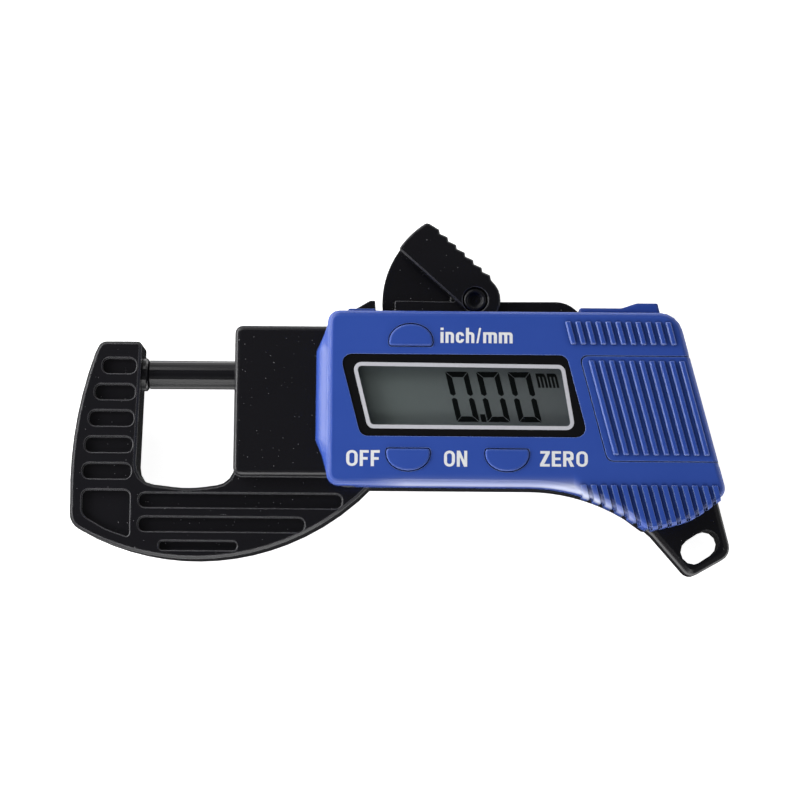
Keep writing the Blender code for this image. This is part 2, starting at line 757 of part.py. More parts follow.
def frame_holes():
    """The anvil's seat, the spindle's bore with its bush seat, the rod's hole, the pin's hole and the lanyard slot."""
    line = (0, SPINDLE_Z)
    bush_radius = SPINDLE_DIAMETER / 2 + BUSH_WALL + 2 * FIT
    bush_start = POCKET_LEFT - BUSH_LENGTH - FIT
    bore = cylinder("bore", SPINDLE_DIAMETER / 2 + FIT, THROAT_WIDTH - 0.001, bush_start, line, CUTTERS, "X")
    seat = cylinder("bush seat", bush_radius, bush_start, POCKET_LEFT + FIT, line, CUTTERS, "X")
    anvil = cylinder(
        "anvil seat", ANVIL_DIAMETER / 2 + FIT, -ANVIL_DEPTH - FIT, ARM_FACE + 0.001, line, CUTTERS, "X"
    )
    rod = cylinder(
        "rod hole",
        ROD_DIAMETER / 2 + FIT,
        REAR_WALL_X - FIT,
        REAR_WALL_X + REAR_WALL_THICKNESS + FIT,
        line,
        CUTTERS,
        "X",
        16,
    )
    pin = cylinder("pin hole", LEVER_PIN_DIAMETER / 2 + FIT, -0.001, HUMP_FRONT + 0.001, PIVOT, CUTTERS, sides=20)
    slot = stadium(LOOP_SLOT_LENGTH, LOOP_SLOT_WIDTH, LOOP_SLOT_ANGLE, LOOP_SLOT_CENTRE)
    lanyard = plate("lanyard slot", slot, 0, LOOP_FRONT + 0.001, CUTTERS)
    return gathered("holes", [join_now(bore, seat), anvil, rod, pin, lanyard])


def join_now(thing, other):
    """Joins a cutter to another at once, for cutters that overlap and are then gathered."""
    join(thing, other)
    mesh = bpy.data.meshes.new_from_object(
        thing.evaluated_get(bpy.context.evaluated_depsgraph_get())
    )
    thing.modifiers.clear()
    thing.data = mesh
    bpy.data.objects.remove(other)
    return thing


def lever_slot():
    """The space between the hump's two walls, open at its left end and down into the tray."""
    slot = box(
        "lever slot",
        (EAR_RIGHT + 0.0004, TRAY_TOP - TRAY_WALL - 0.001, SLOT_LOW),
        (SLOT_RIGHT, HUMP_TOP + HUB_RADIUS + 0.002, SLOT_HIGH),
        CUTTERS,
    )
    return slot


def screw_holes():
    cutters = []
    for n, spot in enumerate(HOUSING_SCREWS):
        hole = cylinder(f"hole {n}", SCREW_DIAMETER / 2 + FIT, 0.0001, RIM_FRONT + 0.001, spot, CUTTERS, sides=16)
        head = cylinder(
            f"head {n}",
            SCREW_HEAD_DIAMETER / 2 + FIT,
            -0.001,
            SCREW_HEAD_HEIGHT + 2 * FIT,
            spot,
            CUTTERS,
            sides=16,
        )
        cutters.append(join_now(hole, head))
    for n, spot in enumerate(BOARD_SCREWS):
        top = BOARD_LOW + 0.001
        cutters.append(
            cylinder(f"board hole {n}", SCREW_DIAMETER / 2 + STEP, TRAY_FLOOR * 2, top, spot, CUTTERS, sides=16)
        )
    return gathered("screw holes", cutters)


# Measuring line


def make_anvil():
    radius = ANVIL_DIAMETER / 2
    edge = 0.0003
    profile = [(0, 0), (radius - edge, 0), (radius, -edge), (radius, -ANVIL_DEPTH), (0, -ANVIL_DEPTH)]
    return finish(turned("anvil", profile, (0, 0, SPINDLE_Z), PARTS, "X"), "rod_black")


def make_spindle(line):
    """The rod that meets the anvil, with a thinner tail in the carriage."""
    radius, tail, edge = SPINDLE_DIAMETER / 2, TAIL_DIAMETER / 2, 0.0002
    end = CARRIAGE_LEFT - FIT
    profile = [
        (0, end + TAIL_LENGTH),
        (tail, end + TAIL_LENGTH),
        (tail, end),
        (radius, end),
        (radius, CONTACT_GAP + edge),
        (radius - edge, CONTACT_GAP),
        (0, CONTACT_GAP),
    ]
    return finish(turned("spindle", profile, (0, 0, 0), PARTS, "X", line), "rod_black")


def make_bush():
    inner, outer = SPINDLE_DIAMETER / 2 + FIT, SPINDLE_DIAMETER / 2 + FIT + BUSH_WALL
    start, end = POCKET_LEFT - BUSH_LENGTH, POCKET_LEFT
    profile = [(inner, end), (outer, end), (outer, start), (inner, start), (inner, end)]
    return finish(turned("spindle_bush", profile, (0, 0, SPINDLE_Z), PARTS, "X"), "brass")


def make_carriage(line):
    """The slider on the spindle's tail: the scale lies on its front, and its lug holds the drive pin."""
    spot = (0, 0, SPINDLE_Z)
    body = box(
        "carriage",
        (CARRIAGE_LEFT, CARRIAGE_BOTTOM, CARRIAGE_LOW),
        (CARRIAGE_RIGHT, CARRIAGE_TOP, CARRIAGE_HIGH),
        PARTS,
        0.0003,
        line,
        spot,
    )
    lug_outline = rectangle(
        PIN_X - LUG_WIDTH / 2, PIN_X + LUG_WIDTH / 2, LUG_BOTTOM, CARRIAGE_BOTTOM + 0.001, 0.0012
    )
    lug = plate("lug", lug_outline, CARRIAGE_LOW + STEP, CARRIAGE_LOW + LUG_HEIGHT, CUTTERS)
    join(body, lug)
    bore_end = CARRIAGE_LEFT + TAIL_LENGTH + FIT
    centre = (0, SPINDLE_Z)
    tail = cylinder(
        "tail bore", TAIL_DIAMETER / 2 + FIT, CARRIAGE_LEFT - 0.001, bore_end, centre, CUTTERS, "X", 20
    )
    rod = cylinder(
        "rod bore", ROD_DIAMETER / 2 + FIT, bore_end + 0.0006, CARRIAGE_RIGHT + 0.001, centre, CUTTERS, "X", 20
    )
    pin = cylinder(
        "drive pin hole",
        DRIVE_PIN_DIAMETER / 2 + FIT,
        CARRIAGE_LOW - 0.001,
        CARRIAGE_LOW + LUG_HEIGHT + 0.001,
        (PIN_X, PIN_Y),
        CUTTERS,
        sides=20,
    )
    cut(body, gathered("carriage bores", [tail, rod, pin]))
    return finish(body, PLASTIC)


def make_drive_pin(line):
    """The pin that stands down from the lug into the lever's fork."""
    radius, head = DRIVE_PIN_DIAMETER / 2, DRIVE_PIN_DIAMETER * 0.85
    top = CARRIAGE_LOW + LUG_HEIGHT + FIT
    profile = [
        (0, top + 0.0005),
        (head, top + 0.0005),
        (head, top),
        (radius, top),
        (radius, FORK_LOW),
        (0, FORK_LOW),
    ]
    pin = turned("drive_pin", profile, (PIN_X, PIN_Y, 0), PARTS, "Z", line, (0, 0, SPINDLE_Z), 20)
    return finish(pin, "steel")


def make_scale(line):
    margin = 0.0005
    low = CARRIAGE_HIGH + GLUE_GAP
    strip = box(
        "scale_strip",
        (CARRIAGE_LEFT + margin, CARRIAGE_BOTTOM + margin, low),
        (CARRIAGE_RIGHT - margin, CARRIAGE_TOP - margin, low + SCALE_THICKNESS),
        PARTS,
        0,
        line,
        (0, 0, SPINDLE_Z),
    )
    return finish(strip, "copper_scale")


def make_guide_rod():
    radius, edge = ROD_DIAMETER / 2, 0.0002
    start, end = CARRIAGE_RIGHT - 0.0015, REAR_WALL_X + REAR_WALL_THICKNESS + 0.0004
    profile = [(0, end), (radius, end), (radius, start + edge), (radius - edge, start), (0, start)]
    return finish(turned("guide_rod", profile, (0, 0, SPINDLE_Z), PARTS, "X", sides=20), "steel")


def make_spring_seat():
    inner, outer = ROD_DIAMETER / 2 + FIT, ROD_DIAMETER / 2 + SPRING_WIRE + 0.0009
    start, end = REAR_WALL_X - FIT - 0.0005, REAR_WALL_X - FIT
    profile = [(inner, end), (outer, end), (outer, start), (inner, start), (inner, end)]
    return finish(turned("spring_seat", profile, (0, 0, SPINDLE_Z), PARTS, "X", sides=24), "steel")


def make_spring():
    """The return spring, wound round the guide rod between the carriage and its seat."""
    start = CARRIAGE_RIGHT + FIT + SPRING_WIRE / 2
    end = REAR_WALL_X - FIT - 0.0005 - FIT - SPRING_WIRE / 2
    coil = ROD_DIAMETER / 2 + FIT + SPRING_WIRE / 2 + 0.0002
    per_turn = 10
    curve = bpy.data.curves.new("return_spring", "CURVE")
    curve.dimensions = "3D"
    curve.bevel_depth = SPRING_WIRE / 2
    curve.bevel_resolution = 1
    curve.use_fill_caps = True
    curve.materials.append(material("steel"))
    spline = curve.splines.new("POLY")
    spline.points.add(SPRING_TURNS * per_turn)
    for n, point in enumerate(spline.points):
        angle = 2 * math.pi * n / per_turn
        along = start + (end - start) * n / (SPRING_TURNS * per_turn)
        point.co = (along, coil * math.cos(angle), coil * math.sin(angle), 1)
    spring = bpy.data.objects.new("return_spring", curve)
    PARTS.objects.link(spring)
    spring.parent = DATUM
    spring.location = (0, 0, SPINDLE_Z)
    return spring


# Thumb lever


def cheek_outline():
    """The thumb pad and its round hub seen along the pin, with the pad along +X and its sawtooth edge below."""
    teeth = []
    for n in range(TOOTH_COUNT):
        x = FIRST_TOOTH + n * TOOTH_PITCH
        teeth += [(x - TOOTH_FACE, -PAD_ABOVE, 0), (x, -PAD_ABOVE - TOOTH_HEIGHT, 0)]
    hub = arc((0, 0), HUB_RADIUS, math.pi - math.asin(PAD_BELOW / HUB_RADIUS), 3 * math.pi / 2, 10)
    lower, upper = -math.asin(PAD_ABOVE / PAD_LENGTH), math.asin(PAD_BELOW / PAD_LENGTH)
    end = arc((0, 0), PAD_LENGTH, lower, upper, 6)
    return rounded(
        [
            *[(x, y, 0) for x, y in hub],
            *teeth,
            (*end[0], PAD_CORNER),
            *[(x, y, 0) for x, y in end[1:-1]],
            (*end[-1], PAD_CORNER / 4),
        ],
        6,
    )


def relief_outline():
    """What the pad leaves free behind its front cheek, so that it clears the hump's walls when it is pressed."""
    start, far = HUB_RADIUS + 0.0002, PAD_LENGTH * 2
    return [(-far, -far), (start, -far), (start, 0), (far, 0), (far, far), (-far, far)]


def sector_outline():
    """The thin quadrant that fills the slot between the pad and the hump."""
    quadrant = arc((0, 0), SECTOR_RADIUS, SECTOR_START - math.radians(12), SECTOR_END, 10)
    hub = arc((0, 0), HUB_RADIUS, SECTOR_END + math.radians(20), 2 * math.pi - math.radians(30), 14)
    return quadrant + hub


def fork_angle():
    """The lever arm's direction at rest, from the pivot to the drive pin."""
    return math.atan2(PIN_Y - PIVOT[1], PIN_X - PIVOT[0])


def arm_piece(name, start, end, width, low, high, radius=0.0):
    """A straight length of the lever's arm, from the pivot towards the drive pin."""
    outline = rounded(
        [(start, width / 2, radius), (start, -width / 2, radius), (end, -width / 2, radius), (end, width / 2, radius)]
    )
    return plate(name, turned_outline(outline, fork_angle(), PIVOT), low, high, CUTTERS)


def make_lever(axis):
    """The lever in one piece: front cheek, pad, sector, and the arm whose fork drives the carriage."""
    cheek = turned_outline(cheek_outline(), PAD_AXIS, PIVOT)
    lever = plate("lever", cheek, LOOP_BACK, RIM_FRONT, PARTS, PAD_EDGE, PAD_EDGE, 1, axis, (*PIVOT, 0))
    relief = plate("relief", turned_outline(relief_outline(), PAD_AXIS, PIVOT), -0.001, CHEEK_LOW, CUTTERS)
    cut(lever, relief)
    sector = plate("sector", turned_outline(sector_outline(), PAD_AXIS, PIVOT), WEB_LOW, WEB_HIGH, CUTTERS)
    hub = cylinder("web hub", HUB_RADIUS - STEP, WEB_LOW - STEP, WEB_HIGH + STEP, PIVOT, CUTTERS)
    wall_drop = PIVOT[1] - TRAY_TOP + TRAY_WALL
    riser_start = (wall_drop + FIT) / math.cos(LEVER_SWING / 2) + FORK_WIDTH / 2 * math.tan(LEVER_SWING / 2)
    riser_end = riser_start + 0.0026
    fork_end = FORK_DROP / math.cos(LEVER_SWING / 2) + DRIVE_PIN_DIAMETER / 2 + 0.0008
    neck = arm_piece("neck", 0.001, riser_end - STEP, FORK_WIDTH * 0.8, WEB_LOW + STEP, WEB_HIGH - STEP)
    riser = arm_piece("riser", riser_start, riser_end, FORK_WIDTH * 0.9, FORK_LOW + STEP, WEB_HIGH)
    fork = arm_piece("fork", riser_start - STEP, fork_end, FORK_WIDTH, FORK_LOW, FORK_LOW + FORK_PLATE, 0.0008)
    join(lever, sector, hub, neck, riser, fork)
    gap_start = FORK_DROP - DRIVE_PIN_DIAMETER / 2 - 0.0004
    gap_high = FORK_LOW + FORK_PLATE + 2 * STEP
    gap = arm_piece("fork gap", gap_start, fork_end + 0.002, FORK_GAP, FORK_LOW - 2 * STEP, gap_high)
    bore = cylinder("lever bore", LEVER_PIN_DIAMETER / 2 + FIT, 0, RIM_FRONT + 0.001, PIVOT, CUTTERS, sides=24)
    sink = cylinder(
        "pin head seat",
        PIN_HEAD_DIAMETER / 2 + FIT,
        RIM_FRONT - PIN_HEAD_HEIGHT - FIT,
        RIM_FRONT + 0.001,
        PIVOT,
        CUTTERS,
        sides=24,
    )
    cut(lever, gap, join_now(bore, sink))
    return finish(lever, PLASTIC)


def make_lever_pin():
    """The hollow-headed pin through the hump's walls and the lever."""
    radius, head, cup = LEVER_PIN_DIAMETER / 2, PIN_HEAD_DIAMETER / 2, LEVER_PIN_DIAMETER / 2
    top, under = RIM_FRONT - 0.0001, RIM_FRONT - PIN_HEAD_HEIGHT
    profile = [
        (0, top - 0.0008),
        (cup - 0.0002, top - 0.0008),
        (cup, top - 0.0001),
        (cup + 0.0001, top),
        (head - 0.0001, top),
        (head, top - 0.0002),
        (head, under),
        (radius, under),
        (radius, 0.0005),
        (0, 0.0005),
    ]
    return finish(turned("lever_pin", profile, (*PIVOT, 0), PARTS, sides=28), "rod_black")


# Pod shells


def grip_slabs(name, low, high):
    """Slanted slabs that leave the grip's ribs where they meet a shell."""
    slabs = []
    bottom = GRIP_RIB_TOP - 0.0100
    for n in range(GRIP_RIB_COUNT):
        x = GRIP_RIB_LEFT + n * RIB_PITCH
        corners = slanted_corners(x - RIB_WIDTH / 2, x + RIB_WIDTH / 2, bottom, GRIP_RIB_TOP, 0)
        slabs.append(plate(name, rounded(corners), low, high, CUTTERS))
    return gathered(name, slabs)


def rib_bars(name, first_x, span, count, low, high):
    """Raised ribs with round ends that lean as the pod's right edge does, between the two Y values of their span."""
    bars = []
    for n in range(count):
        x = first_x + n * RIB_PITCH
        corners = slanted_corners(x - RIB_WIDTH / 2, x + RIB_WIDTH / 2, *span, RIB_WIDTH * 0.2)
        bars.append(plate(name, rounded(corners, 2), low, high, CUTTERS, RIB_EDGE, 0, 1))
    return gathered(name, bars)


def make_base_shell():
    """The blue ring between the tray's rim and the front shell, with its upper tab and bump and its ribbed edge."""
    shell = plate("base_shell", pod_outline(BASE_INSET, BASE_LEFT), BASE_LOW, BASE_HIGH, PARTS)
    root = POD_TOP - BASE_INSET - BASE_WALL - STEP
    tab_outline = rounded(
        [
            (TAB_LEFT, TAB_TOP, 0.0003),
            (TAB_LEFT - 0.0007, root, 0),
            (TAB_RIGHT + 0.0009, root, 0),
            (TAB_RIGHT, TAB_TOP, 0.0003),
        ]
    )
    bump_outline = rounded(
        [
            (BUMP_LEFT, BUMP_LOW_TOP, 0.0005),
            (BUMP_LEFT - 0.0010, root, 0),
            (BUMP_RIGHT + 0.0008, root, 0),
            (BUMP_RIGHT, BUMP_TOP, 0.0003),
            (BUMP_STEP + 0.0013, BUMP_TOP, 0.0020),
            (BUMP_STEP - 0.0013, BUMP_LOW_TOP, 0.0020),
        ]
    )
    tab = plate("tab", tab_outline, BASE_LOW, BASE_HIGH, CUTTERS)
    bump = plate("bump", bump_outline, BASE_LOW, BASE_HIGH, CUTTERS)
    ribs = plate("base ribs", pod_outline(BASE_INSET - RIB_PROUD, BASE_LEFT), BASE_LOW, BASE_HIGH, CUTTERS)
    keep_inside(ribs, grip_slabs("base slabs", BASE_LOW, BASE_HIGH))
    join(shell, tab, bump, ribs)
    hollow = pod_outline(BASE_INSET + BASE_WALL, BASE_LEFT + BASE_WALL)
    cut(shell, plate("base hollow", hollow, BASE_LOW - 0.001, BASE_HIGH + 0.001, CUTTERS))
    return finish(shell, "blue_plastic")


def make_fairing():
    """The rounded cheek that runs from the pod's face down onto the block."""
    low = BLOCK_FRONT + FIT
    high = FACE - FACE_EDGE * 0.7
    foot = POD_LEFT - 0.0009
    right = POD_LEFT + SHELL_WALL + 0.0005
    outline = rounded(
        [
            (right, FAIRING_TOP, 0),
            (POD_LEFT - STEP, FAIRING_TOP, 0),
            (foot, FAIRING_SHOULDER + 0.0025, 0.0060),
            (FAIRING_LEFT, FAIRING_SHOULDER, 0.0015),
            (FAIRING_LEFT, FAIRING_HEEL, 0.0015),
            (foot, FAIRING_HEEL - 0.0025, 0.0060),
            (POD_LEFT - STEP, FAIRING_BOTTOM, 0),
            (right, FAIRING_BOTTOM, 0),
        ],
        3,
    )
    shape = plate_shape(outline, low, high)
    uprights = [edge for edge in shape.edges if abs(edge.verts[0].co.z - edge.verts[1].co.z) > high - low - STEP]
    bmesh.ops.subdivide_edges(shape, edges=uprights, cuts=3)
    for vertex in shape.verts:
        rise = min((vertex.co.z - low) / (high - low), 1)
        draw_in = 1 - math.sqrt(1 - rise**2)
        vertex.co.x += max(POD_LEFT + STEP - vertex.co.x, 0) * draw_in
    bmesh.ops.triangulate(shape, faces=shape.faces)
    return solid("fairing", shape, CUTTERS)


def window_corners(margin=0.0):
    corners = slanted_corners(WINDOW_LEFT, WINDOW_RIGHT, WINDOW_BOTTOM, WINDOW_TOP, 0.0016)
    return rounded(inset(corners, margin))


def glass_corners():
    return rounded(slanted_corners(GLASS_LEFT, GLASS_RIGHT, GLASS_BOTTOM, GLASS_TOP, 0.0012))


def button_outline(button, grow=0.0):
    """A half ellipse that stands on its flat side: above it for the upper button, below it for the lower ones."""
    x, y = button
    upward = 1 if y > 0 else -1
    half, height, foot = BUTTON_WIDTH / 2 + grow, BUTTON_HEIGHT + grow, 0.0006
    steps = 12
    points = [(x - half + 0.0002, y - upward * grow, 0.0004), (x + half - 0.0002, y - upward * grow, 0.0004)]
    for n in range(steps + 1):
        angle = math.pi * n / steps
        rise = foot + (height - foot) * math.sin(angle) ** 0.9
        points.append((x + half * math.cos(angle), y + upward * rise, 0))
    outline = rounded(points, 3)
    return outline if upward > 0 else outline[::-1]


def button_centre(button):
    """The middle of a button's cap, where its switch stands."""
    x, y = button
    return (x, y + BUTTON_HEIGHT * (0.45 if y > 0 else -0.45))


def door_outline(margin=0.0, tongue=0.0):
    """The battery door's opening, open past the pod's right side."""
    far = slanted(POD_RIGHT, DOOR_BOTTOM) + DOOR_THICKNESS
    corners = slanted_corners(
        DOOR_LEFT + margin, far, DOOR_BOTTOM - tongue + margin, DOOR_TOP + tongue - margin, 0, DOOR_TOP
    )
    corners[0] = (*corners[0][:2], 0.0010)
    corners[1] = (*corners[1][:2], 0.0014)
    return rounded(corners)


def make_front_shell():
    """The ribbed cover with its window, button holes, battery well and door recess."""
    shell = plate("front_shell", pod_outline(), SEAM, FACE, PARTS, FACE_EDGE, 0, 3)
    ribs = plate("face ribs", pod_outline(-RIB_PROUD), SEAM, FACE + RIB_PROUD, CUTTERS, FACE_EDGE, 0, 3)
    keep_inside(ribs, grip_slabs("face slabs", SEAM - 0.001, FACE + 0.001))
    top_ribs = rib_bars("top ribs", TOP_RIB_LEFT, TOP_RIB_SPAN, TOP_RIB_COUNT, FACE - RIB_PROUD, FACE + RIB_PROUD)
    join(shell, make_fairing(), ribs, top_ribs)
    hollow = pod_outline(SHELL_WALL, POD_LEFT + SHELL_WALL)
    cavity = plate("cavity", hollow, RIM_FRONT, SHELL_CEILING, CUTTERS)
    cut(shell, cavity)
    join(shell, *shell_insides())
    cut(shell, *shell_openings())
    return finish(shell, "blue_plastic")


def shell_insides():
    """The door's floor, the battery's well and the screw bosses."""
    door_floor = SHELL_CEILING - 0.0010
    floor_corners = slanted_corners(
        DOOR_LEFT + 0.0005,
        POD_RIGHT - 0.0008 + (POD_TOP - DOOR_TOP) * SLANT,
        DOOR_BOTTOM - TONGUE - 0.0010,
        DOOR_TOP + TONGUE + 0.0010,
        0,
        DOOR_TOP,
    )
    floor = plate("door floor", rounded(floor_corners), door_floor, SHELL_CEILING + 0.0003, CUTTERS)
    well_low = BOARD_HIGH - FIT
    well_radius = BATTERY_DIAMETER / 2 + FIT + WELL_WALL
    well = cylinder("well", well_radius, well_low, door_floor + 0.0004, BATTERY_CENTRE, CUTTERS)
    bosses = [
        cylinder(f"boss {n}", POST_RADIUS * 0.95, BASE_LOW, SHELL_CEILING + 0.0004, spot, CUTTERS, sides=16)
        for n, spot in enumerate(HOUSING_SCREWS)
    ]
    return floor, well, gathered("screw bosses", bosses)


def shell_openings():
    lens_seat = FACE - LENS_SINK - LENS_THICKNESS - GLUE_GAP
    window = plate("window seat", window_corners(), lens_seat, FACE + 0.001, CUTTERS)
    aperture = plate("window aperture", glass_corners(), SHELL_CEILING - 0.001, FACE + 0.001, CUTTERS)
    buttons = [
        plate("button hole", button_outline(spot, FACE_GAP), SHELL_CEILING - 0.0012, FACE + 0.001, CUTTERS)
        for spot in (UNIT_BUTTON, POWER_BUTTON, ZERO_BUTTON)
    ]
    door = plate("door recess", door_outline(), SHELL_CEILING, FACE + 0.001, CUTTERS)
    groove_top = SHELL_CEILING + TONGUE + 2 * FIT
    grooves = plate("door grooves", door_outline(0, TONGUE), SHELL_CEILING + STEP, groove_top, CUTTERS)
    battery = cylinder(
        "battery hole", BATTERY_DIAMETER / 2 + FIT, BOARD_LOW - 0.001, FACE, BATTERY_CENTRE, CUTTERS
    )
    x, y = BATTERY_CENTRE
    well_gap = box(
        "well gap",
        (x - BATTERY_DIAMETER, y - 0.0038, BOARD_LOW - 0.001),
        (x - BATTERY_DIAMETER / 4, y + 0.0052, SHELL_CEILING - 0.0012),
        CUTTERS,
    )
    screws = [
        cylinder(f"thread {n}", SCREW_DIAMETER / 2 + 0.0001, BASE_LOW - 0.001, SEAM, spot, CUTTERS, sides=16)
        for n, spot in enumerate(HOUSING_SCREWS)
    ]
    return window, aperture, gathered("button holes", buttons), door, grooves, battery, well_gap, gathered(
        "threads", screws
    )


def make_lens():
    top = FACE - LENS_SINK
    lens = plate("display_lens", window_corners(FACE_GAP), top - LENS_THICKNESS, top, PARTS, 0.0002, 0, 1)
    return finish(lens, "smoked_window")


def make_button(name, button):
    """A button cap with a bar beneath that is wider than its hole."""
    low = SHELL_CEILING - FIT - FLANGE_THICKNESS
    cap = plate(
        name,
        button_outline(button),
        low,
        FACE + BUTTON_PROUD,
        PARTS,
        0.0003,
        0,
        2,
        None,
        (*button, 0),
    )
    x, y = button
    upward = 1 if y > 0 else -1
    near, far = sorted((y - upward * 0.0005, y + upward * 0.0031))
    bar = box(
        f"{name} bar",
        (x - BUTTON_WIDTH / 2 - 0.0007, near, low + STEP),
        (x + BUTTON_WIDTH / 2 + 0.0007, far, SHELL_CEILING - FIT),
        CUTTERS,
    )
    join(cap, bar)
    return finish(cap, "blue_plastic")


def make_door():
    """The sliding battery door with its ribs and side tongues."""
    low, high = SHELL_CEILING + FIT, SHELL_CEILING + FIT + DOOR_THICKNESS
    door = plate("battery_door", pod_outline(), low, high, PARTS, FACE_EDGE, 0, 3)
    keep_inside(door, plate("door body", door_outline(FACE_GAP), low - 0.001, high + 0.001, CUTTERS))
    first_rib = DOOR_LEFT + DOOR_RIB_MARGIN
    ribs = rib_bars("door ribs", first_rib, DOOR_RIB_SPAN, DOOR_RIB_COUNT, high - RIB_PROUD, high + RIB_PROUD)
    tongues = plate("door tongues", pod_outline(FACE_EDGE), low + STEP, low + TONGUE, CUTTERS)
    keep_inside(tongues, plate("tongue body", door_outline(FIT, TONGUE), low - 0.001, low + 0.002, CUTTERS))
    join(door, tongues, ribs)
    return finish(door, "blue_plastic")


# Electronics


def make_board():
    left, right, bottom, top = BOARD_LEFT, BOARD_RIGHT, BOARD_BOTTOM, BOARD_TOP
    board = plate("sensor_board", rectangle(left, right, bottom, top, 0.0005), BOARD_LOW, BOARD_HIGH, PARTS)
    notches = [
        cylinder(f"notch {n}", POST_RADIUS + FIT, BOARD_LOW - 0.001, BOARD_HIGH + 0.001, spot, CUTTERS, sides=16)
        for n, spot in enumerate(HOUSING_SCREWS[:2])
    ]
    holes = [
        cylinder(
            f"board bore {n}", SCREW_DIAMETER / 2 + FIT, BOARD_LOW - 0.001, BOARD_HIGH + 0.001, spot, CUTTERS, sides=16
        )
        for n, spot in enumerate(BOARD_SCREWS)
    ]
    cut(board, gathered("board cuts", notches + holes))
    return finish(board, "circuit_board")


def make_chip():
    x, y = CHIP_CENTRE
    half, low = CHIP_SIZE / 2, PARTS_ON_BOARD
    chip = box("controller_chip", (x - half, y - half, low), (x + half, y + half, low + CHIP_HEIGHT), PARTS, 0.0001)
    return finish(chip, "rubber")


def make_lcd():
    top = SHELL_CEILING - FIT
    left, low, high = BASE_LEFT + BASE_WALL + FIT, GLASS_BOTTOM - LCD_MARGIN, GLASS_TOP + LCD_MARGIN
    outline = rectangle(left, LCD_RIGHT, low, high)
    lcd = plate("lcd_glass", outline, top - LCD_THICKNESS, top, PARTS, 0.0001, 0, 1)
    return finish(lcd, "display_glass")


def make_zebra(name, y):
    top = SHELL_CEILING - FIT - LCD_THICKNESS - GLUE_GAP
    left, right = ZEBRA_SPAN
    strip = box(name, (left, y - ZEBRA_WIDTH / 2, PARTS_ON_BOARD), (right, y + ZEBRA_WIDTH / 2, top), PARTS, 0)
    return finish(strip, "rubber")


def make_dome(name, button):
    """The rubber dome that a button presses."""
    top = SHELL_CEILING - FIT - FLANGE_THICKNESS - FIT
    low = PARTS_ON_BOARD
    profile = [(0, top), (0.0013, top), (0.0013, top - 0.0008), (0.0021, low + 0.0006), (0.0024, low + 0.0004)]
    profile += [(0.0024, low), (0, low)]
    dome = turned(name, profile, (*button_centre(button), 0), PARTS, sides=20)
    return finish(dome, "rubber")


def make_battery():
    """The button cell, with the smaller cap of its negative side downwards."""
    radius, edge, cap = BATTERY_DIAMETER / 2, 0.0003, 0.0007
    low = SHELL_CEILING - BATTERY_HEIGHT
    high = SHELL_CEILING
    profile = [
        (0, high),
        (radius - edge, high),
        (radius, high - edge),
        (radius, low + cap + edge),
        (radius - edge, low + cap),
        (radius - 0.0012, low + cap),
        (radius - 0.0013, low),
        (0, low),
    ]
    return finish(turned("battery", profile, (*BATTERY_CENTRE, 0), PARTS), "steel")


def make_negative_contact():
    """A formed strip from the board to under the cell."""
    foot, thick = PARTS_ON_BOARD, CONTACT_THICKNESS
    under = SHELL_CEILING - BATTERY_HEIGHT - GLUE_GAP
    step = BOARD_RIGHT + 0.0004
    end = BATTERY_CENTRE[0] + 0.0020
    outline = [
        (step - 0.0040, foot + thick),
        (step - 0.0040, foot),
        (step, foot),
        (step, under - thick),
        (end, under - thick),
        (end, under),
        (step + thick, under),
        (step + thick, foot + thick),
    ]
    y = BATTERY_CENTRE[1] - 0.0012
    return finish(upright_plate("battery_contact_negative", outline, y - 0.0012, y + 0.0012, PARTS), "steel")


def make_positive_contact():
    """An angle strip from the board to the cell's side."""
    foot, thick = PARTS_ON_BOARD, CONTACT_THICKNESS
    side = BATTERY_CENTRE[0] - BATTERY_DIAMETER / 2
    high = SHELL_CEILING - 0.0014
    outline = [
        (BOARD_RIGHT - 0.0030, foot + thick),
        (BOARD_RIGHT - 0.0030, foot),
        (side, foot),
        (side, high),
        (side - thick, high),
        (side - thick, foot + thick),
    ]
    y = BATTERY_CENTRE[1] + 0.0020
    return finish(upright_plate("battery_contact_positive", outline, y - 0.0010, y + 0.0010, PARTS), "steel")


def make_screw(name, spot, head_low, direction, length):
    """A pan-head screw whose shank runs up or down from its head."""
    shank, head, height = SCREW_DIAMETER / 2, SCREW_HEAD_DIAMETER / 2, SCREW_HEAD_HEIGHT
    if direction > 0:
        profile = [
            (0, head_low + height + length),
            (shank, head_low + height + length),
            (shank, head_low + height),
            (head, head_low + height),
            (head, head_low + 0.0002),
            (head - 0.0002, head_low),
            (0, head_low),
        ]
    else:
        profile = [
            (0, head_low + height),
            (head - 0.0003, head_low + height),
            (head, head_low + height - 0.0004),
            (head, head_low),
            (shank, head_low),
            (shank, head_low - length),
            (0, head_low - length),
        ]
    return finish(turned(name, profile, (*spot, 0), PARTS, sides=20), "steel")


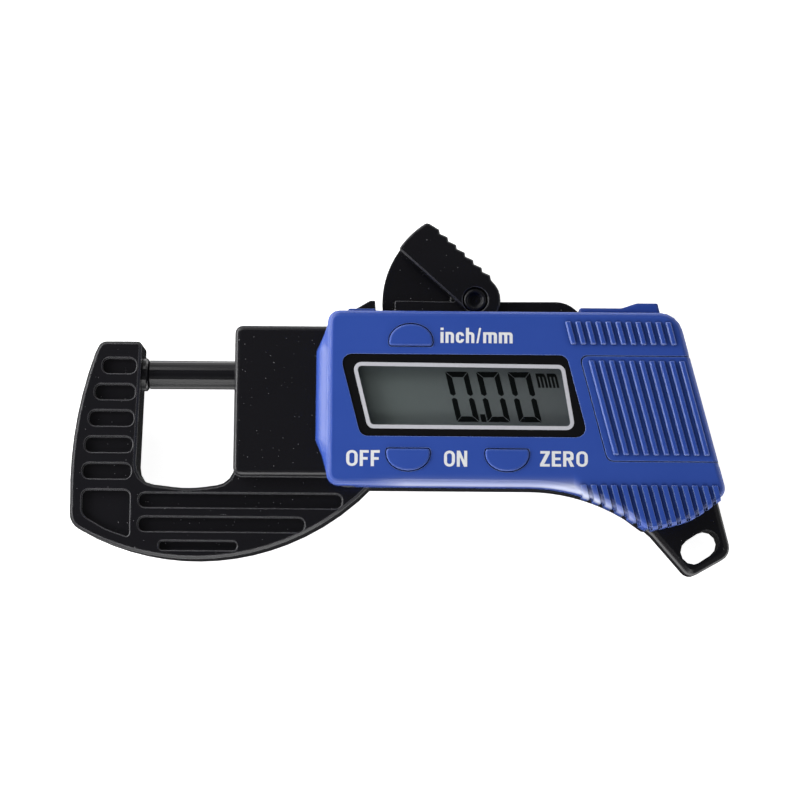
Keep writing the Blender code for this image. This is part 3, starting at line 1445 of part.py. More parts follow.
def main():
    line = empty("spindle_line", (0, 0, SPINDLE_Z), DATUM)
    axis = empty("lever_axis", (*PIVOT, 0), DATUM)
    make_frame()
    make_anvil()
    make_spindle(line)
    make_bush()
    make_carriage(line)
    make_drive_pin(line)
    make_scale(line)
    make_guide_rod()
    make_spring_seat()
    make_spring()
    make_lever(axis)
    make_lever_pin()
    make_base_shell()
    make_front_shell()
    make_lens()
    make_lcd()
    make_zebra("zebra_strip_upper", GLASS_TOP + 0.0006)
    make_zebra("zebra_strip_lower", GLASS_BOTTOM - 0.0005)
    make_board()
    make_chip()
    for name, button in (("unit", UNIT_BUTTON), ("power", POWER_BUTTON), ("zero", ZERO_BUTTON)):
        make_button(f"{name}_button", button)
        make_dome(f"{name}_dome", button)
    make_door()
    make_battery()
    make_negative_contact()
    make_positive_contact()
    shank = SEAM - 0.0012 - SCREW_HEAD_HEIGHT
    for n, spot in enumerate(HOUSING_SCREWS, 1):
        make_screw(f"housing_screw_{n}", spot, FIT, 1, shank)
    for n, spot in enumerate(BOARD_SCREWS, 1):
        make_screw(f"board_screw_{n}", spot, BOARD_HIGH + FIT, -1, 0.0040)
    centre_on_origin()


def centre_on_origin():
    """Moves the datum so that the origin lies under the middle of the whole gauge."""
    graph = bpy.context.evaluated_depsgraph_get()
    shown = [thing.evaluated_get(graph) for thing in PARTS.objects if thing.type == "MESH"]
    corners = [thing.matrix_world @ Vector(corner) for thing in shown for corner in thing.bound_box]
    for axis in (0, 1):
        reach = [corner[axis] for corner in corners]
        DATUM.location[axis] = -(min(reach) + max(reach)) / 2


clear_scene()
PARTS = new_collection("digital_thickness_gauge")
CUTTERS = new_collection("cutters")
CUTTERS.hide_render = True
DATUM = empty("datum", (0, 0, 0))
main()
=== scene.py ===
"""The look of the digital thickness gauge: finishes, prints, display figures, floor, light and camera.

Lengths are in metres. Places are measured from the datum: the anvil's face, the spindle's axis and the back.
"""

import math

import bpy
from mathutils import Matrix, Vector


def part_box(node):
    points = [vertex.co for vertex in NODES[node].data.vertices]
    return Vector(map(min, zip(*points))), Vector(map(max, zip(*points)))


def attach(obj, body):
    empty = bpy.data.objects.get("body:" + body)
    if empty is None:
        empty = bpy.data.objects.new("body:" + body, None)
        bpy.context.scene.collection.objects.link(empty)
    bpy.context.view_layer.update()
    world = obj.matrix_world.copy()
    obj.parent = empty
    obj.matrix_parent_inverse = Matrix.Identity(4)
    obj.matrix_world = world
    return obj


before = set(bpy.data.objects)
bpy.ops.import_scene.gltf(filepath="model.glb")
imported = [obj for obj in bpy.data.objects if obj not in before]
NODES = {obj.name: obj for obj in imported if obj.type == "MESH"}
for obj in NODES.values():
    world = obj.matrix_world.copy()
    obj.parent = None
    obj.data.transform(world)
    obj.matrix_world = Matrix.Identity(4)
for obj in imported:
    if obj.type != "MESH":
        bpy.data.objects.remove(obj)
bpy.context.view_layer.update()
BODY = "gauge_body"
MM = 0.001

# Where things are, from the frame
ANVIL_LOW, ANVIL_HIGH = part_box("anvil")
LENS_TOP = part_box("display_lens")[1].z / MM
LCD_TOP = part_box("lcd_glass")[1].z / MM
DATUM = Vector((ANVIL_HIGH.x, (ANVIL_LOW.y + ANVIL_HIGH.y) / 2, 0))

# How high the blue shell's face lies above the back
FACE = 16.5 * MM

# Left of here, the blue shell's walls are the smooth fairing
FAIRING_END = DATUM.x + 33.5 * MM

# The face's lower edge rolls off softly. It runs level and then falls away along the grip
LOWER_EDGE = DATUM.y - 20.1 * MM
GRIP_START = DATUM.x + 73.5 * MM
GRIP_FALL = 0.6

# How far up the face the roll reaches, its steepest slope, and where it sets in and fades out
ROLL_REACH = 2.8 * MM
ROLL_SLOPE = 0.40
ROLL_START = DATUM.x + 33 * MM
ROLL_RISE = 12 * MM
ROLL_END = DATUM.x + 88 * MM
ROLL_FADE = 5 * MM

# A painted highlight turns the rolled lower edge pale, fading out down to this height
RIM_HIGHLIGHT_LOW = 13.0 * MM
RIM_HIGHLIGHT_FADE = 2.0 * MM

# How far the finishes round off edges
BLACK_ROUNDING = 0.34 * MM
PIN_ROUNDING = 0.45 * MM
SMALL_ROUNDING = 0.1 * MM
FACE_ROUNDING = 0.12 * MM
WALL_ROUNDING = 0.75 * MM
FAIRING_ROUNDING = 1.2 * MM

# The blue shell: how far below its face its walls start, the width of the painted highlight along its edges,
# and how far the painted shade in its seams reaches
FACE_MARGIN = 0.04 * MM
EDGE_HIGHLIGHT_WIDTH = 0.13 * MM
SHADE_REACH = 1.2 * MM

# The black moulding's edges carry a painted highlight above this height
EDGE_HIGHLIGHT_LOW = 6 * MM

# Rings left by the lathe
TURNING_PITCH = 0.12 * MM

# Prints: their thickness, and in millimetres how high they lie on the lens, the display and the shell
INK = 0.02 * MM
BORDER_LIFT = 0.025
LINE_LIFT = 0.05
FIGURE_LIFT = 0.03
LEGEND_LIFT = 0.022

# The printed window, in millimetres from the datum: lower left, lower right, upper right and upper left
WINDOW_CORNERS = ((37.30, -11.64), (75.92, -11.64), (72.26, 2.35), (33.65, 2.35))
WINDOW_RADIUS = 1.05
LINE_CORNERS = ((38.52, -10.39), (73.80, -10.44), (71.91, 0.73), (35.70, 1.00))
LINE_RADIUS = 1.3
LINE_WIDTH = 0.66

# The figures on the display
FIGURE_WIDTH = 3.85
FIGURE_HEIGHT = 8.6
BAR_WIDTH = 0.92
BAR_GAP = 0.10
MIDDLE_GAP = 0.30
FIGURE_LEAN = 0.24
FIGURE_MIDDLE_Y = -4.62
FIGURE_CENTRES = (54.60, 59.89, 65.24)
POINT_BOX = (56.90, 57.75, -4.30, -3.00)
UNIT_BOX = (68.04, 71.60, 1.67, 4.12)

# The legends: words and their left, right, bottom and top
LEGENDS = (
    ("unit_legend", "inch/mm", (50.78, 63.09, 4.35, 6.98)),
    ("off_legend", "OFF", (34.91, 40.60, -16.86, -14.13)),
    ("on_legend", "ON", (51.49, 55.43, -16.84, -14.11)),
    ("zero_legend", "ZERO", (67.76, 75.86, -16.70, -14.06)),
)

# Steps in a rounded corner
ROUND_STEPS = 6

# The letters, in shares of a capital's height: the gap between two, the width of an upright stroke and of a
# level one, and the height of a small letter
LETTER_GAP = 0.12
STEM = 0.19
BAR = 0.165
LOW = 0.72

# Outlines of the letters: a third number is the radius of a corner
LETTERS = {
    "O": (
        ((0, 0, 0.33), (0.68, 0, 0.33), (0.68, 1, 0.33), (0, 1, 0.33)),
        ((STEM, BAR, 0.14), (0.68 - STEM, BAR, 0.14), (0.68 - STEM, 1 - BAR, 0.14), (STEM, 1 - BAR, 0.14)),
    ),
    "F": (
        (
            (0, 0),
            (STEM, 0),
            (STEM, 0.40),
            (0.47, 0.40),
            (0.47, 0.40 + BAR),
            (STEM, 0.40 + BAR),
            (STEM, 1 - BAR),
            (0.53, 1 - BAR),
            (0.53, 1),
            (0, 1),
        ),
    ),
    "N": (
        (
            (0, 0),
            (STEM, 0),
            (STEM, 0.60),
            (0.45, 0),
            (0.65, 0),
            (0.65, 1),
            (0.65 - STEM, 1),
            (0.65 - STEM, 0.40),
            (0.20, 1),
            (0, 1),
        ),
    ),
    "Z": (
        (
            (0, 0),
            (0.58, 0),
            (0.58, BAR),
            (0.25, BAR),
            (0.58, 0.85),
            (0.58, 1),
            (0.02, 1),
            (0.02, 1 - BAR),
            (0.33, 1 - BAR),
            (0, 0.15),
        ),
    ),
    "E": (
        (
            (0, 0),
            (0.55, 0),
            (0.55, BAR),
            (STEM, BAR),
            (STEM, 0.42),
            (0.51, 0.42),
            (0.51, 0.42 + BAR),
            (STEM, 0.42 + BAR),
            (STEM, 1 - BAR),
            (0.54, 1 - BAR),
            (0.54, 1),
            (0, 1),
        ),
    ),
    "R": (
        (
            (0, 0),
            (STEM, 0),
            (STEM, 0.40),
            (0.27, 0.40),
            (0.44, 0),
            (0.66, 0),
            (0.46, 0.42),
            (0.62, 0.42, 0.12),
            (0.62, 1, 0.26),
            (0, 1),
        ),
        ((STEM, 0.42 + BAR), (0.43, 0.42 + BAR, 0.10), (0.43, 1 - BAR, 0.12), (STEM, 1 - BAR)),
    ),
    "i": (
        ((0, 0), (STEM, 0), (STEM, LOW), (0, LOW)),
        ((0, 0.84), (STEM, 0.84), (STEM, 1), (0, 1)),
    ),
    "n": (
        (
            (0, 0),
            (STEM, 0),
            (STEM, LOW - BAR),
            (0.52 - STEM, LOW - BAR, 0.06),
            (0.52 - STEM, 0),
            (0.52, 0),
            (0.52, LOW, 0.22),
            (0, LOW),
        ),
    ),
    "c": (
        (
            (0.5, 0.46),
            (0.5, LOW, 0.24),
            (0, LOW, 0.24),
            (0, 0, 0.24),
            (0.5, 0, 0.24),
            (0.5, 0.26),
            (0.5 - STEM, 0.26),
            (0.5 - STEM, BAR, 0.05),
            (STEM, BAR, 0.05),
            (STEM, LOW - BAR, 0.05),
            (0.5 - STEM, LOW - BAR, 0.05),
            (0.5 - STEM, 0.46),
        ),
    ),
    "h": (
        (
            (0, 0),
            (STEM, 0),
            (STEM, LOW - BAR),
            (0.52 - STEM, LOW - BAR, 0.06),
            (0.52 - STEM, 0),
            (0.52, 0),
            (0.52, LOW, 0.22),
            (STEM, LOW),
            (STEM, 1),
            (0, 1),
        ),
    ),
    "/": (((0, 0), (0.13, 0), (0.30, 1), (0.17, 1)),),
    "m": (
        (
            (0, 0),
            (STEM, 0),
            (STEM, LOW - BAR),
            (0.33, LOW - BAR, 0.06),
            (0.33, 0),
            (0.33 + STEM, 0),
            (0.33 + STEM, LOW - BAR),
            (0.85 - STEM, LOW - BAR, 0.06),
            (0.85 - STEM, 0),
            (0.85, 0),
            (0.85, LOW, 0.2),
            (0, LOW),
        ),
    ),
}

# The floor
FLOOR_SIZE = 6
FLOOR_DROP = 0.0002
FLOOR_GLOW = 0.92

# Softboxes: name, place, size, and how bright they are, where 1 is as bright as the white floor
SOFTBOXES = (
    ("left_box", (-0.28, 0.08, 0.12), (0.34, 0.13), 8.2),
    ("top_box", (-0.26, 0.40, 0.42), (0.35, 0.30), 2.2),
    ("front_low_box", (0.02, -0.50, 0.10), (0.60, 0.10), 3.5),
    ("front_high_box", (-0.10, -0.40, 0.36), (0.50, 0.14), 4),
    ("right_box", (0.48, 0.05, 0.14), (0.35, 0.12), 1.0),
)

# The room's light: stops from straight down at 0 to straight up at 1, and how bright 1 is
ROOM_STRENGTH = 2.5
ROOM_GLOW = (
    (0.08, 0.01),
    (0.22, 0.9),
    (0.27, 0.9),
    (0.36, 0.50),
    (0.43, 0.30),
    (0.52, 0.40),
    (0.65, 0.25),
    (0.78, 0.08),
    (0.92, 0.02),
)

# The photograph's view
IMAGE_WIDTH = 800
FOCAL_PIXELS = 2353
SENSOR_WIDTH = 36
VIEW_ELEVATION = math.radians(82.7)
VIEW_ROLL = math.radians(0.45)
VIEW_DISTANCE = 0.400
VIEW_TARGET = Vector((43.96 * MM, -5.53 * MM, FACE))

# Colours
BRIGHT_STEEL = (0.55, 0.56, 0.58)
BLACK = (0.0080, 0.0078, 0.0098)
# A painted highlight: the black moulding's edges above a height turn this light grey
BLACK_EDGE_HIGHLIGHT = (0.150, 0.150, 0.160)
DUST = (0.30, 0.30, 0.31)
BLUE_DARKER = (0.032, 0.080, 0.39)
BLUE = (0.038, 0.092, 0.43)
# Painted light on the blue shell: shade in its seams and grooves, a highlight along its edges, and a pale
# highlight along its lower edge
BLUE_PAINTED_SHADE = (0.006, 0.014, 0.085)
BLUE_EDGE_HIGHLIGHT = (0.33, 0.47, 0.95)
PAINTED_RIM_HIGHLIGHT = (0.60, 0.64, 0.84)


def datum_point(x, y, z):
    """A point given in millimetres from the datum, as a place in the frame."""
    return DATUM + Vector((x, y, z)) * MM


# Finishes


class Wire:
    """A value that runs through a material or the room: arithmetic on it adds nodes."""

    def __init__(self, graph, socket):
        self.graph = graph
        self.socket = socket

    def maths(self, operation, first, second):
        """A sum, difference, product or other operation on two values."""
        return self.graph.add("ShaderNodeMath", {"operation": operation}, {0: first, 1: second})

    def __add__(self, other):
        return self.maths("ADD", self, other)

    def __sub__(self, other):
        return self.maths("SUBTRACT", self, other)

    def __rsub__(self, other):
        return self.maths("SUBTRACT", other, self)

    def __mul__(self, other):
        return self.maths("MULTIPLY", self, other)

    __radd__ = __add__

    def below(self, limit):
        """1 where it is less than a limit, 0 elsewhere."""
        return self.maths("LESS_THAN", self, limit)

    def above(self, limit):
        """1 where it is more than a limit, 0 elsewhere."""
        return self.maths("GREATER_THAN", self, limit)

    def at_least(self, limit):
        """The value, or a limit where it is less."""
        return self.maths("MAXIMUM", self, limit)

    def clamped(self):
        """The value, kept between 0 and 1."""
        return self.graph.ramp(self, (0.0, 0.0), (1.0, 1.0))


class Graph:
    """A tree of shader nodes."""

    def __init__(self, tree):
        self.tree = tree

    def add(self, kind, settings=None, inputs=None, output=0):
        """A node of a kind: its settings first, then the values or wires of its sockets."""
        node = self.tree.nodes.new(kind)
        for name, value in (settings or {}).items():
            if name == "stops":
                self.set_stops(node.color_ramp, value)
            else:
                setattr(node, name, value)
        for name, value in (inputs or {}).items():
            self.feed(node.inputs[name], value)
        return Wire(self, node.outputs[output])

    def set_stops(self, ramp, stops):
        """Gives a ramp its (position, grey) stops."""
        while len(ramp.elements) < len(stops):
            ramp.elements.new(0.5)
        for element, (position, grey) in zip(ramp.elements, stops):
            element.position = position
            element.color = (grey, grey, grey, 1)

    def feed(self, socket, value):
        """Links a wire to a socket, or sets the socket to a value."""
        if isinstance(value, Wire):
            self.tree.links.new(value.socket, socket)
        else:
            socket.default_value = value

    def ramp(self, value, *stops):
        """A value turned into another by (position, grey) stops."""
        return self.add("ShaderNodeValToRGB", {"stops": stops}, {"Fac": value}, "Color")

    def part(self, vector, axis):
        """One of a vector's three numbers."""
        return self.add("ShaderNodeSeparateXYZ", None, {0: vector}, axis)


def opaque(colour):
    """A colour of three numbers as an opaque one, and a wire as it is."""
    return colour if isinstance(colour, Wire) else (*colour, 1)


def darker(colour, share):
    """A share of a colour."""
    return tuple(share * part for part in colour)


class Finish(Graph):
    """A material and its shader nodes."""

    def __init__(self, name):
        self.material = bpy.data.materials.new(name)
        self.material.use_nodes = True
        super().__init__(self.material.node_tree)
        self.shader = self.tree.nodes["Principled BSDF"]

    def shade(self, **values):
        """Sets the shader's sockets, named with underscores for their spaces."""
        for name, value in values.items():
            self.feed(self.shader.inputs[name.replace("_", " ")], value)
        return self.material

    def place(self):
        """Where a point of the surface is on its piece."""
        return self.add("ShaderNodeTexCoord", output="Object")

    def noise(self, scale, detail):
        """Even grain with about scale spots in a metre."""
        inputs = {"Vector": self.place(), "Scale": scale, "Detail": detail}
        return self.add("ShaderNodeTexNoise", None, inputs, "Fac")

    def blend(self, amount, first, second):
        """A colour between two, by an amount: each a wire or three numbers."""
        inputs = {"Factor": amount, 6: opaque(first), 7: opaque(second)}
        return self.add("ShaderNodeMix", {"data_type": "RGBA"}, inputs, 2)

    def round_edges(self, radius, samples=4):
        """The surface's direction as if its edges were rounded off."""
        return self.add("ShaderNodeBevel", {"samples": samples}, {"Radius": radius}, "Normal")

    def edge_highlight_mask(self, rounded, start, full):
        """1 on edges and 0 on flats, from the turn between the real and the rounded-off surface: where edge
        highlights are painted.
        """
        true = self.add("ShaderNodeNewGeometry", output="True Normal")
        turn = self.add("ShaderNodeVectorMath", {"operation": "DOT_PRODUCT"}, {0: rounded, 1: true}, "Value")
        return self.ramp(turn, (full, 1.0), (start, 0.0))

    def hollows(self, distance, samples):
        """1 on open surfaces, less down in seams and grooves, where shade is painted."""
        inputs = {"Distance": distance}
        return self.add("ShaderNodeAmbientOcclusion", {"samples": samples}, inputs, "AO")

    def bump(self, height, distance, normal=None, strength=1.0):
        """The surface's direction with small heights added."""
        inputs = {"Height": height, "Distance": distance, "Strength": strength}
        if normal:
            inputs["Normal"] = normal
        return self.add("ShaderNodeBump", None, inputs, "Normal")


def black_moulding():
    """Satin black moulding: fine grain, uneven gloss, a painted highlight along its upper edges and a few
    specks of dust.
    """
    finish = Finish("black_moulding")
    grain = finish.noise(6000, 3)
    cloud = finish.noise(90, 3)
    dust = finish.ramp(finish.noise(3300, 0), (0.845, 0.0), (0.86, 1.0))
    upper = finish.part(finish.place(), "Z").above(EDGE_HIGHLIGHT_LOW)
    edges = finish.round_edges(BLACK_ROUNDING)
    # Painted highlight: edges above a height are coloured light grey
    edge_highlight = finish.edge_highlight_mask(edges, 0.985, 0.80)
    skin = finish.blend(edge_highlight * upper, BLACK, BLACK_EDGE_HIGHLIGHT)
    return finish.shade(
        Base_Color=finish.blend(dust * 0.4, skin, DUST),
        Roughness=0.16 + cloud * 0.10 + dust * 0.3,
        Normal=finish.bump(grain, 0.005 * MM, edges, 0.5),
    )


def polished_black():
    """Black oxide steel with a broad polished rounding that catches the light in crescents."""
    finish = Finish("polished_black")
    grain = finish.noise(1500, 2)
    edges = finish.round_edges(PIN_ROUNDING, 8)
    return finish.shade(
        Base_Color=finish.blend(grain, (0.010, 0.010, 0.012), (0.018, 0.018, 0.022)),
        Roughness=0.10 + grain * 0.08,
        Metallic=0.3,
        Normal=finish.bump(grain, 0.002 * MM, edges, 0.5),
    )


def rolled_edge(finish, place):
    """How far the face has rolled off towards the pod's lower edge: 0 on the face, 1 at the edge."""
    along = finish.part(place, "X")
    edge = LOWER_EDGE - (along - GRIP_START).at_least(0.0) * GRIP_FALL
    reach = (edge + ROLL_REACH - finish.part(place, "Y")) * (1 / ROLL_REACH)
    ahead = ((ROLL_END - along) * (1 / ROLL_FADE)).clamped()
    behind = finish.ramp((along - ROLL_START) * (1 / ROLL_RISE), (0.0, 0.3), (1.0, 1.0))
    return reach.clamped() * ahead * behind


def blue_moulding():
    """Satin blue moulding: a fine even grain, painted highlights on its edges and along its lower edge,
    painted shade in seams and grooves, and softly rounded walls.
    """
    finish = Finish("blue_moulding")
    grain = finish.noise(7000, 3)
    cloud = finish.noise(120, 2)
    place = finish.place()
    height = finish.part(place, "Z")
    wall = height.below(FACE - FACE_MARGIN)
    fairing = finish.part(place, "X").below(FAIRING_END)
    edges = finish.round_edges(wall * (WALL_ROUNDING + fairing * FAIRING_ROUNDING) + FACE_ROUNDING)
    # Painted highlight: light blue along the edges
    edge_highlight = finish.edge_highlight_mask(finish.round_edges(EDGE_HIGHLIGHT_WIDTH), 0.99, 0.86)
    # Painted shade: darker down in seams and grooves
    open_to_light = finish.ramp(finish.hollows(SHADE_REACH, 6), (0.35, 0.0), (0.95, 1.0))
    skin = finish.blend(open_to_light, BLUE_PAINTED_SHADE, finish.blend(cloud, BLUE_DARKER, BLUE))
    roll = rolled_edge(finish, place)
    rolled = finish.bump(roll * roll * (-0.5 * ROLL_SLOPE * ROLL_REACH), 1.0, edges)
    # Painted highlight: the rolled lower edge turns pale
    rim_highlight = roll * roll * roll * roll * ((height - RIM_HIGHLIGHT_LOW) * (1 / RIM_HIGHLIGHT_FADE)).clamped()
    return finish.shade(
        Base_Color=finish.blend(edge_highlight, finish.blend(rim_highlight * 0.9, skin, PAINTED_RIM_HIGHLIGHT), BLUE_EDGE_HIGHLIGHT),
        Roughness=0.20 + cloud * 0.10,
        Normal=finish.bump(grain, 0.004 * MM, rolled, 0.4),
    )


def plain(name, colour, roughness, metallic=0.0):
    """A finish of one colour with a fine grain and slightly uneven gloss."""
    finish = Finish(name)
    grain = finish.noise(3000, 3)
    return finish.shade(
        Base_Color=finish.blend(grain, darker(colour, 0.85), colour),
        Roughness=roughness + grain * 0.08,
        Metallic=metallic,
        Normal=finish.bump(grain, 0.004 * MM, finish.round_edges(SMALL_ROUNDING), 0.6),
    )


def turned_metal(name, colour, roughness, metallic=1.0):
    """Metal turned along X, with the fine rings that a lathe leaves."""
    finish = Finish(name)
    rings = finish.add(
        "ShaderNodeTexWave",
        {"bands_direction": "X", "wave_profile": "SIN"},
        {"Vector": finish.place(), "Scale": 0.3 / TURNING_PITCH, "Distortion": 1.2, "Detail": 2},
        "Fac",
    )
    cloud = finish.noise(400, 2)
    return finish.shade(
        Base_Color=finish.blend(cloud, darker(colour, 0.85), colour),
        Roughness=roughness + rings * 0.08,
        Metallic=metallic,
        Normal=finish.bump(rings, 0.002 * MM, finish.round_edges(SMALL_ROUNDING), 0.4),
    )


def circuit_board():
    """Green board with faint copper tracks under the solder mask."""
    finish = Finish("circuit_board")
    tracks = finish.add(
        "ShaderNodeTexBrick",
        {"offset": 0.3},
        {"Vector": finish.place(), "Scale": 180, "Mortar Size": 0.03, "Brick Width": 1.6},
        "Fac",
    )
    colour = finish.blend(tracks, (0.010, 0.095, 0.035), (0.020, 0.17, 0.06))
    return finish.shade(Base_Color=colour, Roughness=0.35, Normal=finish.bump(tracks, 0.02 * MM))


def clear_pane():
    """The clear window, with a faint smear in its gloss."""
    finish = Finish("clear_pane")
    smear = finish.noise(60, 3)
    return finish.shade(Base_Color=(0.002, 0.002, 0.002, 1), Roughness=0.03 + smear * 0.05, Alpha=0.10)


def printed(name, colour, roughness):
    """Ink printed on the shell or the window, with a slightly uneven cover."""
    finish = Finish(name)
    cover = finish.noise(2500, 2)
    return finish.shade(
        Base_Color=finish.blend(cover, darker(colour, 0.86), colour),
        Roughness=roughness + cover * 0.1,
    )


def display_face():
    """The display's grey-green polariser, a little lighter to one side."""
    finish = Finish("display_face")
    across = (finish.part(finish.place(), "X") * 25 + 0.5).clamped()
    colour = finish.blend(across, (0.205, 0.250, 0.240), (0.155, 0.175, 0.180))
    cloud = finish.noise(150, 2)
    return finish.shade(Base_Color=colour, Roughness=0.22 + cloud * 0.06)


def paint(node, material):
    """Gives a CAD node its finish."""
    slots = NODES[node].data.materials
    slots.clear()
    slots.append(material)


# Shaping by hand


def pick_only(piece):
    """Selects one piece and makes it the active one."""
    bpy.ops.object.select_all(action="DESELECT")
    piece.select_set(True)
    bpy.context.view_layer.objects.active = piece


def settle(piece, material):
    """Puts the piece's place into its mesh, gives it its finish and lets it ride on the gauge's body."""
    pick_only(piece)
    bpy.ops.object.transform_apply(location=True, rotation=True, scale=True)
    piece.data.materials.clear()
    piece.data.materials.append(material)
    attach(piece, BODY)


def thicken(piece, thickness):
    """Gives a flat piece its thickness, downwards from where it lies."""
    pick_only(piece)
    wall = piece.modifiers.new("thickness", "SOLIDIFY")
    wall.thickness = thickness
    wall.offset = -1
    bpy.ops.object.modifier_apply(modifier=wall.name)


def round_corner(before, corner, after, radius):
    """Points of the arc that rounds a corner off."""
    corner = Vector(corner)
    back = (Vector(before) - corner).normalized()
    ahead = (Vector(after) - corner).normalized()
    half = back.angle(ahead) / 2
    middle = corner + (back + ahead).normalized() * radius / math.sin(half)
    first = (corner + back * radius / math.tan(half) - middle).normalized()
    last = (corner + ahead * radius / math.tan(half) - middle).normalized()
    return [middle + first.slerp(last, step / ROUND_STEPS) * radius for step in range(ROUND_STEPS + 1)]


def round_loop(corners):
    """A closed outline whose corners are rounded off where they have a third number."""
    points = []
    for index, corner in enumerate(corners):
        before, after = corners[index - 1][:2], corners[(index + 1) % len(corners)][:2]
        if len(corner) == 3:
            points.extend(round_corner(before, corner[:2], after, corner[2]))
        else:
            points.append(Vector(corner))
    return points


def inset_corners(corners, width):
    """The corners of an outline that runs anticlockwise, moved inwards by a width."""
    moved = []
    for index, corner in enumerate(corners):
        corner = Vector(corner)
        back = (corner - Vector(corners[index - 1])).normalized()
        ahead = (Vector(corners[(index + 1) % len(corners)]) - corner).normalized()
        inwards = (back.orthogonal() + ahead.orthogonal()).normalized()
        moved.append(corner + inwards * width / inwards.dot(ahead.orthogonal()))
    return moved


def with_radius(corners, radius):
    """The corners of an outline, all rounded off alike."""
    return [(corner[0], corner[1], radius) for corner in corners]


def print_flat(name, loops, laid, material):
    """A thin print: flat outlines and their holes, filled, and each point laid where it belongs."""
    curve = bpy.data.curves.new(name, "CURVE")
    curve.dimensions = "2D"
    curve.fill_mode = "FRONT"
    for loop in loops:
        points = round_loop(loop)
        spline = curve.splines.new("POLY")
        spline.points.add(len(points) - 1)
        for end, point in zip(spline.points, points):
            end.co = (point.x, point.y, 0, 1)
        spline.use_cyclic_u = True
    piece = bpy.data.objects.new(name, curve)
    bpy.context.scene.collection.objects.link(piece)
    pick_only(piece)
    bpy.ops.object.convert(target="MESH")
    piece = bpy.context.object
    for vertex in piece.data.vertices:
        vertex.co = laid(vertex.co.x, vertex.co.y)
    thicken(piece, INK)
    settle(piece, material)


# Printed window


def make_window_print():
    """The black border and the silver line on the window."""
    hole = with_radius(inset_corners(LINE_CORNERS, LINE_WIDTH / 2), LINE_RADIUS - LINE_WIDTH / 2)
    inner = with_radius(inset_corners(LINE_CORNERS, LINE_WIDTH), LINE_RADIUS - LINE_WIDTH)
    print_flat(
        "window_border_print",
        [with_radius(WINDOW_CORNERS, WINDOW_RADIUS), hole],
        lambda x, y: datum_point(x, y, LENS_TOP + BORDER_LIFT),
        printed("black_ink", (0.006, 0.006, 0.007), 0.12),
    )
    print_flat(
        "window_line_print",
        [with_radius(LINE_CORNERS, LINE_RADIUS), inner],
        lambda x, y: datum_point(x, y, LENS_TOP + LINE_LIFT),
        printed("silver_ink", (0.64, 0.64, 0.69), 0.35),
    )


# Display figures and legends


def figure_bars(centre):
    """The six bars of a nought, each with slanted ends."""
    half, top, middle = FIGURE_WIDTH / 2, FIGURE_HEIGHT / 2, MIDDLE_GAP / 2
    lying = (
        (half - BAR_GAP, top),
        (BAR_GAP - half, top),
        (BAR_GAP + BAR_WIDTH - half, top - BAR_WIDTH),
        (half - BAR_GAP - BAR_WIDTH, top - BAR_WIDTH),
    )
    standing = (
        (half, middle + BAR_WIDTH / 3),
        (half, top - BAR_GAP),
        (half - BAR_WIDTH, top - BAR_GAP - BAR_WIDTH),
        (half - BAR_WIDTH, middle + BAR_WIDTH / 3),
        (half - BAR_WIDTH / 2, middle),
    )
    bars = []
    for up in (-1, 1):
        bars.append([(centre + x, up * y) for x, y in lying])
        bars.extend([(centre + side * x, up * y) for x, y in standing] for side in (-1, 1))
    return bars


def box_loop(left, right, bottom, top):
    """The outline of an upright box."""
    return [(left, bottom), (right, bottom), (right, top), (left, top)]


def word_loops(word, left, right, bottom, top):
    """The outlines of a word's letters, side by side and fitted to a box."""
    loops, start = [], 0
    for letter in word:
        outlines = [round_loop(loop) for loop in LETTERS[letter]]
        loops.extend([(point.x + start, point.y) for point in outline] for outline in outlines)
        start += max(point.x for outline in outlines for point in outline) + LETTER_GAP
    wider = (right - left) / (start - LETTER_GAP)
    taller = (top - bottom) / max(y for loop in loops for _, y in loop)
    return [[(left + x * wider, bottom + y * taller) for x, y in loop] for loop in loops]


def make_figures():
    """The display's 0.00 and mm: drawn upright, then leaned over and laid on the display."""
    loops = [bar for centre in FIGURE_CENTRES for bar in figure_bars(centre)]
    loops.append(box_loop(*POINT_BOX))
    black = printed("display_black", (0.002, 0.004, 0.004), 0.2)

    def laid(x, y):
        return datum_point(x - y * FIGURE_LEAN, y + FIGURE_MIDDLE_Y, LCD_TOP + FIGURE_LIFT)

    print_flat("display_figures", loops, laid, black)
    print_flat("display_unit", word_loops("mm", *UNIT_BOX), laid, black)


def make_legends():
    """The white words beside the buttons."""
    white = printed("white_ink", (0.93, 0.94, 0.96), 0.4)

    def laid(x, y):
        return datum_point(x, y, FACE / MM + LEGEND_LIFT)

    for name, word, box in LEGENDS:
        print_flat(name, word_loops(word, *box), laid, white)


# Camera, floor and light


def make_camera():
    """The photograph's camera: above the gauge, tipped a little towards its lower edge."""
    back = Vector((0, -math.cos(VIEW_ELEVATION), math.sin(VIEW_ELEVATION)))
    level_right = Vector((1, 0, 0))
    level_up = back.cross(level_right)
    right = math.cos(VIEW_ROLL) * level_right + math.sin(VIEW_ROLL) * level_up
    up = back.cross(right)
    camera = bpy.data.objects.new("camera", bpy.data.cameras.new("camera"))
    bpy.context.scene.collection.objects.link(camera)
    turn = Matrix((right, up, back)).transposed().to_4x4()
    camera.matrix_world = Matrix.Translation(DATUM + VIEW_TARGET + back * VIEW_DISTANCE) @ turn
    camera.data.sensor_width = SENSOR_WIDTH
    camera.data.lens = FOCAL_PIXELS * SENSOR_WIDTH / IMAGE_WIDTH
    camera.data.clip_start = 0.01
    camera.data.clip_end = 20
    bpy.context.scene.camera = camera


def make_floor():
    """The plain white floor, which glows so that it stays white where no light falls."""
    bpy.ops.mesh.primitive_plane_add(size=FLOOR_SIZE, location=(0, 0, -FLOOR_DROP))
    floor = bpy.context.object
    floor.name = "floor"
    white = Finish("floor").shade(
        Base_Color=(0.9, 0.9, 0.9, 1),
        Roughness=0.9,
        Emission_Color=(1, 1, 1, 1),
        Emission_Strength=FLOOR_GLOW,
    )
    floor.data.materials.append(white)
    floor.visible_glossy = False


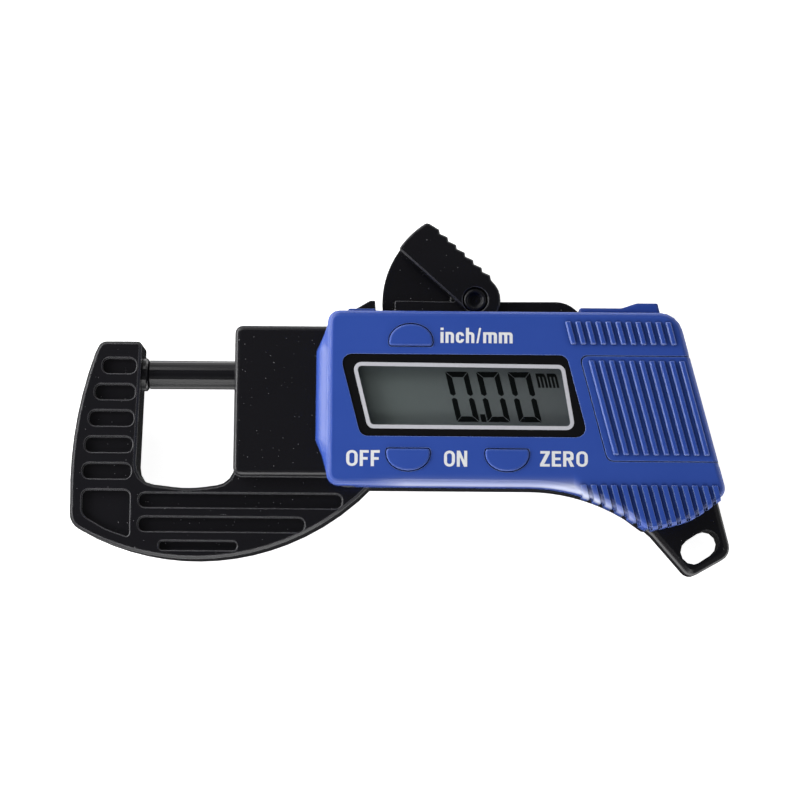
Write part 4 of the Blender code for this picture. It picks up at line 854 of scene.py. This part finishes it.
def softbox(name, place, size, radiance):
    """A rectangular light of an even brightness, aimed at the gauge."""
    light = bpy.data.lights.new(name, "AREA")
    light.shape = "RECTANGLE"
    light.size, light.size_y = size
    light.energy = radiance * math.pi * size[0] * size[1]
    lamp = bpy.data.objects.new(name, light)
    bpy.context.scene.collection.objects.link(lamp)
    lamp.location = place
    lamp.rotation_mode = "QUATERNION"
    lamp.rotation_quaternion = (-Vector(place)).to_track_quat("-Z", "Y")


def make_room():
    """A dim room, bright low down and dark overhead: flats stay dark and edges catch light."""
    world = bpy.data.worlds.new("world")
    bpy.context.scene.world = world
    world.use_nodes = True
    room = Graph(world.node_tree)
    height = room.part(room.add("ShaderNodeTexCoord", output="Generated"), "Z")
    glow = room.ramp(height * 0.5 + 0.5, *ROOM_GLOW)
    background = world.node_tree.nodes["Background"]
    room.feed(background.inputs["Color"], glow)
    room.feed(background.inputs["Strength"], ROOM_STRENGTH)


def make_light():
    """Softboxes round the gauge in a dim room."""
    make_room()
    for name, place, size, radiance in SOFTBOXES:
        softbox(name, place, size, radiance)
    bpy.context.scene.view_settings.view_transform = "Standard"


def paint_everything():
    """Gives each CAD node its finish, and plain steel to all that aren't named."""
    steel = plain("steel", BRIGHT_STEEL, 0.25, 1.0)
    finishes = {
        black_moulding(): ["frame", "lever", "carriage"],
        blue_moulding(): [
            "base_shell",
            "front_shell",
            "battery_door",
            "unit_button",
            "power_button",
            "zero_button",
        ],
        turned_metal("black_rod", (0.008, 0.008, 0.010), 0.16, metallic=0.0): ["spindle", "anvil"],
        polished_black(): ["lever_pin"],
        turned_metal("bright_metal", BRIGHT_STEEL, 0.22): ["guide_rod"],
        turned_metal("brass", (0.72, 0.50, 0.22), 0.22): ["spindle_bush"],
        plain("copper_scale", (0.70, 0.38, 0.20), 0.25, 1.0): ["scale_strip"],
        circuit_board(): ["sensor_board"],
        plain("rubber", (0.03, 0.03, 0.03), 0.7): [
            "controller_chip",
            "unit_dome",
            "power_dome",
            "zero_dome",
            "zebra_strip_upper",
            "zebra_strip_lower",
        ],
        display_face(): ["lcd_glass"],
        clear_pane(): ["display_lens"],
    }
    named = {node: material for material, nodes in finishes.items() for node in nodes}
    for node in NODES:
        paint(node, named.get(node, steel))


make_camera()
make_floor()
make_light()
paint_everything()
make_window_print()
make_figures()
make_legends()
